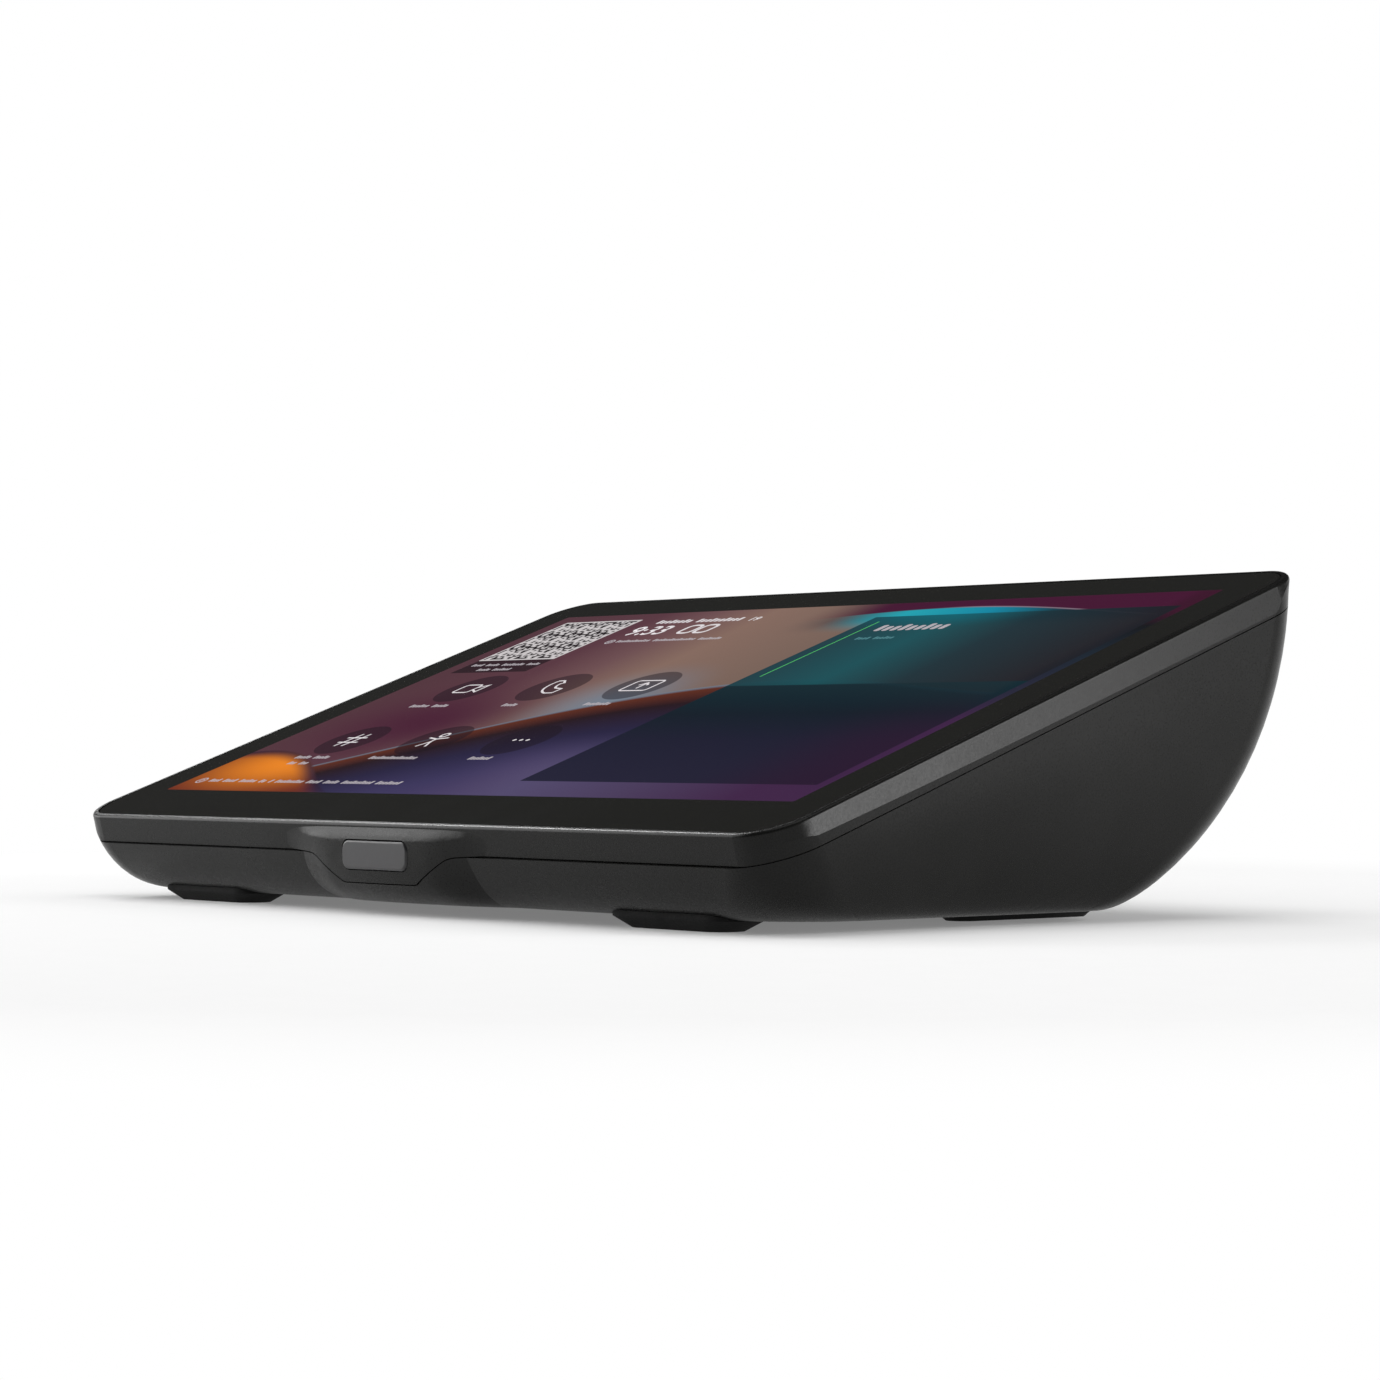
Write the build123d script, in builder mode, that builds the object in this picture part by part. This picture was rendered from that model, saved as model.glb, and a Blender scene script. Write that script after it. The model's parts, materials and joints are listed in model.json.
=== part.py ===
from build123d import *
from math import cos, hypot, radians, sin, tan
import os

# Table-top touch console: a tilted display in a two-part moulded hull on four rubber feet.
# Origin: middle of the footprint on the desk, +X to the right, +Y to the back, +Z up. Millimetres.

# Outer form
WIDTH = 247.8  # across the rim
TOP_LENGTH = 155.9  # front rim to back rim, up the slope
TILT = 19.87  # slope of the glass in degrees
RIM_FRONT_HEIGHT = 18.9  # front rim above the desk
FLOOR_GAP = 2.2  # underside above the desk
CORNER = 10.5  # plan radius of the rim's corners
CORNER_GROWTH = 6.0  # extra plan radius at the underside
SIDE_TUCK = 11.0  # how far the side walls curve in under the body
FRONT_DRAFT = 2.5
FRONT_TUCK = 13.0
BACK_TUCK = 41.0
RIM_ROUND = 0.8
WALL = 2.2

# Nose round the sensor, and the seam between the two housings
NOSE_PROUD = 1.1  # nose face in front of the front rim
NOSE_DEPTH = 9.0  # how far the nose runs back into the hull behind the rim
NOSE_FLAT = 15.0  # half-width of the nose's flat face
NOSE_REACH = 38.0  # half-width at which its flanks have died away into the wall
NOSE_TUCK = 12.3  # how far its face curves in towards the underside
NOSE_SINK = 0.25  # depth of its ends inside the wall, under the rim
NOSE_ROOT = 1.2  # extra depth of its ends at the underside
NOSE_TOP = 0.85  # level above which the face leans back to the rim
NOSE_STATIONS = 6
NOSE_LEVELS = (0.96, 0.9, 0.84, 0.72, 0.56, 0.42, 0.3, 0.18, 0.09, 0.03, 0.0)
SEAM_DROP = 6.0  # seam below the rim, square to the glass
SEAM_GAP = 0.22
BAND_FLARE = 0.45  # widest outline, at the seam, beyond the rim
APRON_HALF_TOP = 26.0
APRON_HALF_BOTTOM = 13.0
APRON_SHOULDER_HEIGHT = 13.5
APRON_BOTTOM = 6.7  # height of the dipped seam above the desk
APRON_ROUND = 4.0
APRON_SHOULDER = 5.0  # rounding where the seam starts to dip
SKIRT = 1.1  # outer half of the wall, which the upper housing keeps at the seam
TONGUE_HEIGHT = 1.4
TONGUE_FIT = 0.1

# Display stack, measured square to the glass
LIP = 1.4  # plastic rim round the glass
GLASS_FIT = 0.1
GLASS_DROP = 0.15  # glass below the rim
GLASS = 1.6
TAPE = 0.3
PANEL = 1.5
TRAY = 2.5
BRACKET = 0.8
LEG_DROP = 7.0  # formed feet of the bracket under its plate
LEG_WIDTH = 14.0
LEG_LENGTH = 13.0
BRACKET_WINDOW_WIDTH = 84.0  # openings in the bracket's plate, one for the display's ribbon
BRACKET_WINDOW_X = 58.0
BRACKET_WINDOW_FRONT = 43.0  # behind the front rim
BRACKET_WINDOW_BACK = 23.05  # behind the middle of the glass
NUT = 6.0
NUT_HEIGHT = 2.4
LEDGE = 2.0
ACTIVE_WIDTH = WIDTH - 25.1
ACTIVE_LENGTH = TOP_LENGTH - 30.6
ACTIVE_FRONT = 17.9  # front rim to the picture
PANEL_BORDER = 5.0  # round the picture
PANEL_TAIL = 1.0  # extra border at the front
DISPLAY_FIT = 0.4

# Feet
FOOT_SEAT = 0.6  # depth of the pockets that the feet sit in
FRONT_FOOT_LENGTH = 39.0
FRONT_FOOT_WIDTH = 13.0
FRONT_FOOT_X = WIDTH / 2 - 41.4
FRONT_FOOT_SET_BACK = 15.1  # behind the front rim
FOOT_RISE = 3.5  # how far a foot may climb the curved underside
REAR_FOOT_LENGTH = 42.5
REAR_FOOT_WIDTH = 11.0
REAR_FOOT_X = WIDTH / 2 - 32.4
REAR_FOOT_SET_IN = 52.6  # in front of the back rim
FOOT_TAPER = 2.0
FOOT_FIT = 0.1

# Bay under the housing with the network jack
BAY_WIDTH = 48.0
BAY_FRONT_Y = -14.0
BAY_BACK_Y = 28.0
BAY_CEILING = 20.0
BAY_WALL = 1.6
COVER = 1.8
COVER_FIT = 0.15
COVER_TONGUE = 1.2
COVER_TONGUE_HEIGHT = 0.8
COVER_OVERRUN = 3.8  # how far the cover runs on behind the bay
CHANNEL_WIDTH = 10.0
CHANNEL_CEILING = 11.0

# Boards
BOARD = 1.6
BOARD_Z = 22.2  # underside of the main board
BOARD_WIDTH = 146.0
BOARD_FRONT_Y = -34.0
BOARD_BACK_Y = 31.0
BOARD_BOSS = 7.0
BOARD_INSET = 5.0

# Network jack, hung under the main board and facing the bay
JACK_WIDTH = 16.0
JACK_HEIGHT = 13.5
JACK_LENGTH = 17.0
PLUG_WIDTH = 11.8
PLUG_HEIGHT = 7.2
PLUG_DEPTH = 12.5
KEY_WIDTH = 6.4
KEY_HEIGHT = 1.9
CONTACT_PITCH = 1.02
CONTACTS = 8
JACK_FIT = 0.2

# Reset button
BUTTON_X = 16.0
BUTTON_Z = 16.5
BUTTON = 4.6
BUTTON_FIT = 0.2
BUTTON_TRAVEL = 0.5
BUTTON_FLANGE = 7.0
SWITCH = 7.0
SWITCH_DEPTH = 4.5

# Motion sensor behind the nose
WINDOW_WIDTH = 23.5
WINDOW_HEIGHT = 6.2
WINDOW_Z = 12.5
WINDOW_ROUND = 2.2
WINDOW_FIT = 0.15
LENS_PROUD = 0.3  # lens in front of the nose
WINDOW_FLANGE = 1.0  # thickness of the lens flange
WINDOW_FACE = 1.9  # nose wall round the lens
FLANGE_LAP = 1.2  # lens flange beyond the lens
SENSOR_CAN = 5.2
SENSOR_CAN_HEIGHT = 3.4
SENSOR_BOARD = 1.0
SENSOR_SET_BACK = 9.8  # nose face to the board's front face
SENSOR_BOARD_WIDTH = 36.0
SENSOR_BOARD_HEIGHT = 7.8
SENSOR_POST_X = 15.5

# Flat ribbons
RIBBON = 0.2
RIBBON_BEND = 1.5
SOCKET_HEIGHT = 1.8

# Parts on the main board
CHIP = 18.0
CHIP_HEIGHT = 1.4
PAD = 0.8
CHIP_X = -24.0
CHIP_Y = 4.0
SPREADER_WIDTH = 76.0
SPREADER_LENGTH = 40.0
SPREADER = 2.0
FIN_HEIGHT = 3.0
TRANSFORMER_X = 46.5
TRANSFORMER_Y = 10.0
CAPACITOR = 8.0
CAPACITOR_HEIGHT = 11.5
CAPACITOR_X = 58.0

# Board of the touch sensor, under the bracket
TOUCH_BOARD_WIDTH = 42.0
TOUCH_BOARD_LENGTH = 16.0
TOUCH_BOARD = 1.0
TOUCH_BOARD_MIDDLE = 130.0
STANDOFF = 2.5
STANDOFF_X = 17.0

# Screws
SCREW = 3.0
SMALL_SCREW = 2.0
SCREW_FIT = 0.05
PILLAR = 8.5
FRONT_PILLAR_SET_BACK = 27.0  # behind the front rim
PILLAR_SEAT = 2.4  # plastic left over each housing screw's head
HEAD_FIT = 0.3

# Derived places
SLOPE = tan(radians(TILT))
RIM_DEPTH = TOP_LENGTH * cos(radians(TILT))
FOOTPRINT = RIM_DEPTH + NOSE_PROUD + LENS_PROUD
RIM_FRONT_Y = NOSE_PROUD + LENS_PROUD - FOOTPRINT / 2
RIM_BACK_Y = RIM_FRONT_Y + RIM_DEPTH
RIM_BACK_HEIGHT = RIM_FRONT_HEIGHT + TOP_LENGTH * sin(radians(TILT))
NOSE_Y = RIM_FRONT_Y - NOSE_PROUD
SENSOR_BOARD_Y = NOSE_Y + SENSOR_SET_BACK
FRONT_FOOT_Y = RIM_FRONT_Y + FRONT_FOOT_SET_BACK
REAR_FOOT_Y = RIM_BACK_Y - REAR_FOOT_SET_IN
FLOOR = FLOOR_GAP + WALL
TOP = Plane(
    origin=(0, RIM_FRONT_Y, RIM_FRONT_HEIGHT),
    x_dir=(1, 0, 0),
    z_dir=(0, -sin(radians(TILT)), cos(radians(TILT))),
)
TAPE_TOP = -(GLASS_DROP + GLASS)
TAPE_BOTTOM = TAPE_TOP - TAPE
LEDGE_BOTTOM = TAPE_BOTTOM - LEDGE
PANEL_BOTTOM = TAPE_BOTTOM - PANEL
TRAY_BOTTOM = PANEL_BOTTOM - TRAY
BRACKET_BOTTOM = TRAY_BOTTOM - BRACKET
PANEL_WIDTH = ACTIVE_WIDTH + 2 * PANEL_BORDER
PANEL_LENGTH = ACTIVE_LENGTH + 2 * PANEL_BORDER + PANEL_TAIL
PANEL_MIDDLE = ACTIVE_FRONT - PANEL_BORDER - PANEL_TAIL + PANEL_LENGTH / 2
RIM_MIDDLE = TOP_LENGTH / 2
PANEL_BACK = PANEL_MIDDLE + PANEL_LENGTH / 2
SIDE = Plane(origin=TOP.origin, x_dir=TOP.y_dir, z_dir=(1, 0, 0))
BOSS = 4.8
BOSS_X = WIDTH / 2 - WALL - BOSS / 2 - 0.4
BOSS_PLACES = [(side * BOSS_X, place) for side in (-1, 1) for place in (26.0, 81.0, 136.0)]
COVER_TOP = FLOOR_GAP + COVER
BOARD_TOP = BOARD_Z + BOARD
BOARD_MIDDLE_Y = (BOARD_FRONT_Y + BOARD_BACK_Y) / 2
BOARD_LENGTH = BOARD_BACK_Y - BOARD_FRONT_Y
PLUG_TOP = BAY_CEILING - 0.8
BUTTON_WALL_Y = BAY_FRONT_Y - BAY_WALL
SWITCH_FACE_Y = BUTTON_WALL_Y - 4.9
PILLARS = [
    (side * x, y)
    for side in (-1, 1)
    for x, y in ((FRONT_FOOT_X, RIM_FRONT_Y + FRONT_PILLAR_SET_BACK), (REAR_FOOT_X, REAR_FOOT_Y))
]
BOARD_HOLES = [
    (side * (BOARD_WIDTH / 2 - BOARD_INSET), y)
    for side in (-1, 1)
    for y in (BOARD_FRONT_Y + BOARD_INSET, BOARD_BACK_Y - BOARD_INSET)
]
SPREADER_HOLES = [
    (CHIP_X + across * (SPREADER_WIDTH / 2 - 4), CHIP_Y + along * (SPREADER_LENGTH / 2 - 4))
    for across in (-1, 1)
    for along in (-1, 1)
]
# Soldered chips on the board's upper face: x, y, width, length, height
CHIPS = (
    (30.0, -20.0, 12.0, 12.0, 1.0),
    (52.0, -22.0, 8.0, 6.0, 1.2),
    (26.0, 24.0, 6.0, 5.0, 1.0),
)
LEVELS = (1.0, 0.82, 0.64, 0.46, 0.3, 0.18, 0.09, 0.03, 0.0)


def facing(y):
    """Upright plane at this depth: local x is X and local y is Z."""
    return Plane.XZ.offset(-y)


def height_under(normal, y):
    """Height of the sheet that lies this far along the glass's normal, over a point of the desk."""
    return RIM_FRONT_HEIGHT + (y - RIM_FRONT_Y) * SLOPE + normal / cos(radians(TILT))


def tuck(level, reach, power, softness):
    """How far a wall has curved in: nothing at the rim, level 1, and all of reach at level 0."""
    return reach * (1 - (1 - (1 - level) ** power) ** softness)


def hull(inset=0.0, floor=FLOOR_GAP, faceted=False):
    """Closed form of the body, lofted through tilted sections that turn level at the underside.

    The inner face of the wall, which nobody sees, runs straight from section to section.
    """
    with BuildPart() as form:
        for level in LEVELS:
            front_z = floor + (RIM_FRONT_HEIGHT - floor) * level
            back_z = floor + (RIM_BACK_HEIGHT - floor) * level
            front_y = RIM_FRONT_Y + FRONT_DRAFT * (1 - level)
            front_y = front_y + tuck(level, FRONT_TUCK, 2.5, 0.4) + inset
            back_y = RIM_BACK_Y - tuck(level, BACK_TUCK, 2.3, 0.82) - inset
            width = WIDTH - 2 * (tuck(level, SIDE_TUCK, 2.5, 0.4) + inset)
            section = Plane(
                origin=(0, (front_y + back_y) / 2, (front_z + back_z) / 2),
                x_dir=(1, 0, 0),
                z_dir=(0, front_z - back_z, back_y - front_y),
            )
            with BuildSketch(section):
                RectangleRounded(
                    width,
                    hypot(back_y - front_y, back_z - front_z),
                    CORNER + CORNER_GROWTH * (1 - level) - inset,
                )
        loft(ruled=faceted)
    return form.part


def front_wall(level):
    """Depth of the plain front wall at a level of its height."""
    return RIM_FRONT_Y + FRONT_DRAFT * (1 - level) + tuck(level, FRONT_TUCK, 2.5, 0.4)


def swell(x):
    """Share of the nose's full swelling at this distance from the middle."""
    along = min(max((NOSE_REACH - abs(x)) / (NOSE_REACH - NOSE_FLAT), 0.0), 1.0)
    return along * along * (3 - 2 * along)


def nose_profile(x):
    """Points of the nose's face at one station, from just under the rim down to the underside."""
    points = []
    for level in NOSE_LEVELS:
        wall = front_wall(level) + NOSE_SINK + NOSE_ROOT * (1 - level) ** 2
        lean = (NOSE_PROUD + NOSE_SINK) * max(level - NOSE_TOP, 0.0) / (NOSE_LEVELS[0] - NOSE_TOP)
        face = NOSE_Y + lean + tuck(level, NOSE_TUCK, 4.5, 0.45)
        height = FLOOR_GAP + (RIM_FRONT_HEIGHT - FLOOR_GAP) * level
        points.append((wall + (face - wall) * swell(x), height))
    return points


def nose():
    """Swelling of the front wall that carries the sensor window, with flanks that die away."""
    step = (NOSE_REACH - NOSE_FLAT) / (NOSE_STATIONS - 1)
    right = [NOSE_FLAT + step * station for station in range(NOSE_STATIONS)]
    with BuildPart() as swelling:
        for x in [-place for place in reversed(right)] + right:
            points = nose_profile(x)
            back = RIM_FRONT_Y + NOSE_DEPTH + FRONT_TUCK
            with BuildSketch(Plane.YZ.offset(x)):
                with BuildLine():
                    Spline(*points)
                    Polyline(points[-1], (back, points[-1][1]), (back, points[0][1]), points[0])
                make_face()
        loft()
    return swelling.part


def above_seam(gap):
    """Everything above the seam, with the apron that dips in front; gap lowers it for the tub."""
    back = RIM_FRONT_Y + NOSE_DEPTH
    top = height_under(-SEAM_DROP, back) + 1
    spread = (APRON_HALF_TOP - APRON_HALF_BOTTOM) / (APRON_SHOULDER_HEIGHT - APRON_BOTTOM)
    with BuildPart() as region:
        with BuildSketch(TOP.offset(-SEAM_DROP - gap)):
            with Locations((0, RIM_MIDDLE)):
                Rectangle(2 * WIDTH, 2 * TOP_LENGTH)
        extrude(amount=TOP_LENGTH)
        with BuildSketch(facing(back)) as apron:
            with BuildLine():
                half_top = APRON_HALF_BOTTOM + gap + spread * (top - APRON_BOTTOM)
                Polyline(
                    (-half_top, top),
                    (half_top, top),
                    (APRON_HALF_BOTTOM + gap, APRON_BOTTOM - gap),
                    (-APRON_HALF_BOTTOM - gap, APRON_BOTTOM - gap),
                    close=True,
                )
            make_face()
            fillet(apron.vertices().group_by(Axis.Y)[0], APRON_ROUND)
        extrude(amount=NOSE_DEPTH + 2 * NOSE_PROUD)
        shoulders = [
            edge
            for edge in region.edges()
            if abs(TOP.to_local_coords(edge.center()).Z + SEAM_DROP + gap) < TONGUE_FIT
            and APRON_HALF_BOTTOM < abs(edge.center().X) < NOSE_REACH
            and abs(edge.tangent_at(0.5).Y) > abs(edge.tangent_at(0.5).X)
        ]
        fillet(shoulders, APRON_SHOULDER)
    return region.part


def band(inset, top, bottom):
    """Slice of the hull, parallel to the glass, with its walls moved in by inset."""
    with BuildPart() as ring:
        add(hull(inset))
        with BuildSketch(TOP.offset(bottom)):
            with Locations((0, RIM_MIDDLE)):
                Rectangle(2 * WIDTH, 2 * TOP_LENGTH)
        extrude(amount=top - bottom, mode=Mode.INTERSECT)
    return ring.part


def band_offcut():
    """What is shaved off the hull above the seam, so that the band leans in towards the rim."""
    with BuildPart() as offcut:
        with BuildSketch(TOP.offset(-SEAM_DROP)):
            with Locations((0, RIM_MIDDLE)):
                Rectangle(2 * WIDTH, 2 * TOP_LENGTH)
        extrude(amount=2 * SEAM_DROP)
        with BuildPart(mode=Mode.PRIVATE) as kept:
            for height, flare in ((-SEAM_DROP, BAND_FLARE + TONGUE_FIT), (0, 0)):
                with BuildSketch(TOP.offset(height)):
                    with Locations((0, RIM_MIDDLE)):
                        RectangleRounded(WIDTH + 2 * flare, TOP_LENGTH + 2 * flare, CORNER + flare)
            loft(ruled=True)
        add(kept.part, mode=Mode.SUBTRACT)
    return offcut.part


def body():
    """Outer form of both housings together."""
    with BuildPart() as outer:
        add(hull(-BAND_FLARE))
        add(band_offcut(), mode=Mode.SUBTRACT)
        rim = outer.faces().sort_by(Axis(TOP.origin, TOP.z_dir))[-1]
        fillet(rim.edges(), RIM_ROUND)
        add(nose())
    return outer.part


def between(low, high):
    """Centre and size of one side of a box."""
    return (low + high) / 2, high - low


def block(x, y, z, mode=Mode.ADD):
    """Box between pairs of limits, for use inside a part."""
    middles, sizes = zip(between(*x), between(*y), between(*z))
    with Locations(middles):
        Box(*sizes, mode=mode)


def rod(x, y, low, high, diameter, mode=Mode.ADD):
    """Upright cylinder between two heights, for use inside a part."""
    with Locations((x, y, low)):
        Cylinder(diameter / 2, high - low, align=(Align.CENTER, Align.CENTER, Align.MIN), mode=mode)


def screws(plane, places, diameter, length, head, head_height):
    """Group of screws: their heads stand on the plane and their shanks run down from it."""
    with BuildPart() as group:
        with BuildSketch(plane):
            with Locations(*places):
                Circle(head / 2)
        extrude(amount=head_height)
        with BuildSketch(plane):
            with Locations(*places):
                Circle(diameter / 2)
        extrude(amount=-length)
        with BuildSketch(plane.offset(head_height)):
            with Locations(*places):
                RegularPolygon(head * 0.22, 6)
        extrude(amount=-head_height * 0.55, mode=Mode.SUBTRACT)
    return group.part


def sheet(plane, middle, width, length, thickness, rounding=0.0):
    """Rectangular sheet whose upper face lies on the plane."""
    with BuildPart() as layer:
        with BuildSketch(plane):
            with Locations((0, middle)):
                if rounding:
                    RectangleRounded(width, length, rounding)
                else:
                    Rectangle(width, length)
        extrude(amount=-thickness)
    return layer.part


def ribbon(plane, points, width, middle):
    """Flat flex along a path drawn on a plane square to X."""
    with BuildPart() as flex:
        with BuildSketch(plane.offset(middle - width / 2)):
            with BuildLine():
                FilletPolyline(*points, radius=RIBBON_BEND)
            trace(line_width=RIBBON)
        extrude(amount=width)
    return flex.part


def upper_housing(outer, cavity):
    """Rim, front and side band, with the ledge under the glass and the apron round the sensor."""
    with BuildPart() as upper:
        add(outer)
        add(above_seam(0), mode=Mode.INTERSECT)
        add(interior(cavity, LEDGE_BOTTOM), mode=Mode.SUBTRACT)
        add(tongue_groove(), mode=Mode.SUBTRACT)
        width, length = WIDTH - 2 * LIP, TOP_LENGTH - 2 * LIP
        pocket = sheet(TOP, RIM_MIDDLE, width, length, -TAPE_BOTTOM, CORNER - LIP)
        add(pocket, mode=Mode.SUBTRACT)
        with BuildSketch(TOP):
            with Locations((0, PANEL_MIDDLE)):
                Rectangle(PANEL_WIDTH + 2 * DISPLAY_FIT, PANEL_LENGTH + 2 * DISPLAY_FIT)
        extrude(amount=LEDGE_BOTTOM - 1, mode=Mode.SUBTRACT)
        with BuildSketch(TOP.offset(TRAY_BOTTOM)):
            with Locations(*BOSS_PLACES):
                Circle(BOSS / 2)
        extrude(amount=LEDGE_BOTTOM - TRAY_BOTTOM)
        with BuildSketch(TOP.offset(TRAY_BOTTOM)):
            with Locations(*BOSS_PLACES):
                Circle(SMALL_SCREW / 2 + SCREW_FIT)
        extrude(amount=LEDGE_BOTTOM - TRAY_BOTTOM + LEDGE / 2, mode=Mode.SUBTRACT)
        with BuildSketch(facing(NOSE_Y - 1)):
            with Locations((0, WINDOW_Z)):
                RectangleRounded(
                    WINDOW_WIDTH + 2 * WINDOW_FIT,
                    WINDOW_HEIGHT + 2 * WINDOW_FIT,
                    WINDOW_ROUND + WINDOW_FIT,
                )
        extrude(amount=-NOSE_DEPTH, mode=Mode.SUBTRACT)
        with BuildSketch(facing(NOSE_Y + WINDOW_FACE)):
            with Locations((0, WINDOW_Z)):
                Rectangle(
                    WINDOW_WIDTH + 2 * FLANGE_LAP + 2 * WINDOW_FIT,
                    WINDOW_HEIGHT + 2 * FLANGE_LAP + 2 * WINDOW_FIT,
                )
        extrude(amount=-NOSE_DEPTH / 2, mode=Mode.SUBTRACT)
        with BuildSketch(facing(SENSOR_BOARD_Y)):
            with Locations((-SENSOR_POST_X, WINDOW_Z), (SENSOR_POST_X, WINDOW_Z)):
                Circle(1.8)
        extrude(amount=NOSE_DEPTH - 3.5)
        with BuildSketch(facing(SENSOR_BOARD_Y + SENSOR_BOARD + 0.5)):
            with Locations((-SENSOR_POST_X, WINDOW_Z), (SENSOR_POST_X, WINDOW_Z)):
                Circle(0.7)
        extrude(amount=3)
    return upper.part


def interior(cavity, top):
    """Part of the cavity below a sheet parallel to the glass."""
    with BuildPart() as below:
        add(cavity)
        with BuildSketch(TOP.offset(top)):
            with Locations((0, RIM_MIDDLE)):
                Rectangle(2 * WIDTH, 2 * TOP_LENGTH)
        extrude(amount=TOP_LENGTH, mode=Mode.SUBTRACT)
    return below.part


def ring(inset, top, bottom, clear_front):
    """Slice of the hull, moved in by inset, without the stretch of front wall at the nose."""
    with BuildPart() as slice_of_hull:
        add(band(inset, top, bottom))
        block(
            (-APRON_HALF_TOP - clear_front, APRON_HALF_TOP + clear_front),
            (NOSE_Y - 1, RIM_FRONT_Y + 2 * NOSE_DEPTH),
            (0, 2 * RIM_FRONT_HEIGHT),
            Mode.SUBTRACT,
        )
    return slice_of_hull.part


def tongue_groove():
    """Room in the upper housing's skirt for the tongue of the lower one."""
    return ring(SKIRT, -SEAM_DROP + TONGUE_HEIGHT + 2 * TONGUE_FIT, -SEAM_DROP - SEAM_GAP, 4)


def lower_fittings():
    """Bay, cable channel, pillars and board bosses, before the body's form trims them."""
    half = BAY_WIDTH / 2 + COVER_TONGUE + COVER_FIT + BAY_WALL
    with BuildPart() as fittings:
        block((-half, half), (BUTTON_WALL_Y, BAY_BACK_Y + BAY_WALL), (0, BAY_CEILING + BAY_WALL))
        block((-half, half), (BAY_BACK_Y, BAY_BACK_Y + 11), (0, FLOOR + WALL))
        channel = CHANNEL_WIDTH / 2 + BAY_WALL
        block((-channel, channel), (BAY_BACK_Y, BAY_BACK_Y + 22), (0, CHANNEL_CEILING + BAY_WALL))
        for x, y in PILLARS:
            rod(x, y, 0, pillar_top(y), PILLAR)
        for x, y in BOARD_HOLES:
            rod(x, y, 0, BOARD_Z, BOARD_BOSS)
            for turn in (0, 90):
                with Locations(Location((x, y, FLOOR), (0, 0, turn))):
                    Box(2.2 * BOARD_BOSS, 1.4, 9, align=(Align.CENTER, Align.CENTER, Align.MIN))
    return fittings.part


def pillar_top(y):
    """Height of the pillar that carries a formed foot of the bracket."""
    return height_under(BRACKET_BOTTOM, y) - LEG_DROP


def lower_housing(outer, cavity):
    """Deep tub with the cable bay in its underside and four pillars for the display bracket."""
    with BuildPart() as lower:
        add(outer)
        add(above_seam(SEAM_GAP), mode=Mode.SUBTRACT)
        add(cavity, mode=Mode.SUBTRACT)
        lip = ring(SKIRT + TONGUE_FIT, -SEAM_DROP + TONGUE_HEIGHT, -SEAM_DROP - 2 * SEAM_GAP, 5) - cavity
        add(lip)
        add(lower_fittings() & outer)
        block(
            (-BAY_WIDTH / 2, BAY_WIDTH / 2),
            (BAY_FRONT_Y, BAY_BACK_Y),
            (0, BAY_CEILING),
            Mode.SUBTRACT,
        )
        groove = BAY_WIDTH / 2 + COVER_TONGUE + COVER_FIT
        block(
            (-groove, groove),
            (BAY_FRONT_Y, BAY_BACK_Y),
            (COVER_TOP - COVER_TONGUE_HEIGHT - COVER_FIT, COVER_TOP + COVER_FIT),
            Mode.SUBTRACT,
        )
        block((-groove, groove), (BAY_BACK_Y, RIM_BACK_Y), (0, COVER_TOP + COVER_FIT), Mode.SUBTRACT)
        with BuildSketch(facing(BAY_BACK_Y - 1)):
            with Locations((0, CHANNEL_CEILING / 2)):
                RectangleRounded(CHANNEL_WIDTH, CHANNEL_CEILING, 2.5)
        extrude(amount=-(RIM_BACK_Y - BAY_BACK_Y), mode=Mode.SUBTRACT)
        block(
            (-JACK_WIDTH / 2 - JACK_FIT, JACK_WIDTH / 2 + JACK_FIT),
            (BUTTON_WALL_Y - 1, BAY_FRONT_Y + 1),
            (BOARD_Z - JACK_HEIGHT - JACK_FIT, BOARD_Z),
            Mode.SUBTRACT,
        )
        with BuildSketch(facing(BAY_FRONT_Y + 1)):
            with Locations((BUTTON_X, BUTTON_Z)):
                Circle(BUTTON / 2 + BUTTON_FIT)
        extrude(amount=BAY_WALL + 2, mode=Mode.SUBTRACT)
        for x, y in PILLARS:
            rod(x, y, 0, pillar_top(y), SCREW + 4 * SCREW_FIT, Mode.SUBTRACT)
            rod(x, y, 0, pillar_top(y) - PILLAR_SEAT, 2 * SCREW + HEAD_FIT, Mode.SUBTRACT)
        for x, y in BOARD_HOLES:
            rod(x, y, BOARD_Z - 8, BOARD_Z, SCREW + 2 * SCREW_FIT, Mode.SUBTRACT)
        for side in (-1, 1):
            add(foot_pocket(side * FRONT_FOOT_X, FRONT_FOOT_Y, FRONT_FOOT_LENGTH, FRONT_FOOT_WIDTH, 0),
                mode=Mode.SUBTRACT)
            add(foot_pocket(side * REAR_FOOT_X, REAR_FOOT_Y, REAR_FOOT_LENGTH, REAR_FOOT_WIDTH, 90),
                mode=Mode.SUBTRACT)
    return lower.part


def foot_pocket(x, y, length, width, turn):
    """Shallow seat for a foot in the underside."""
    with BuildPart() as seat:
        with BuildSketch():
            with Locations((x, y)):
                SlotOverall(length + 2 * FOOT_FIT, width + 2 * FOOT_FIT, rotation=turn)
        extrude(amount=FLOOR_GAP + FOOT_SEAT)
    return seat.part


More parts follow.
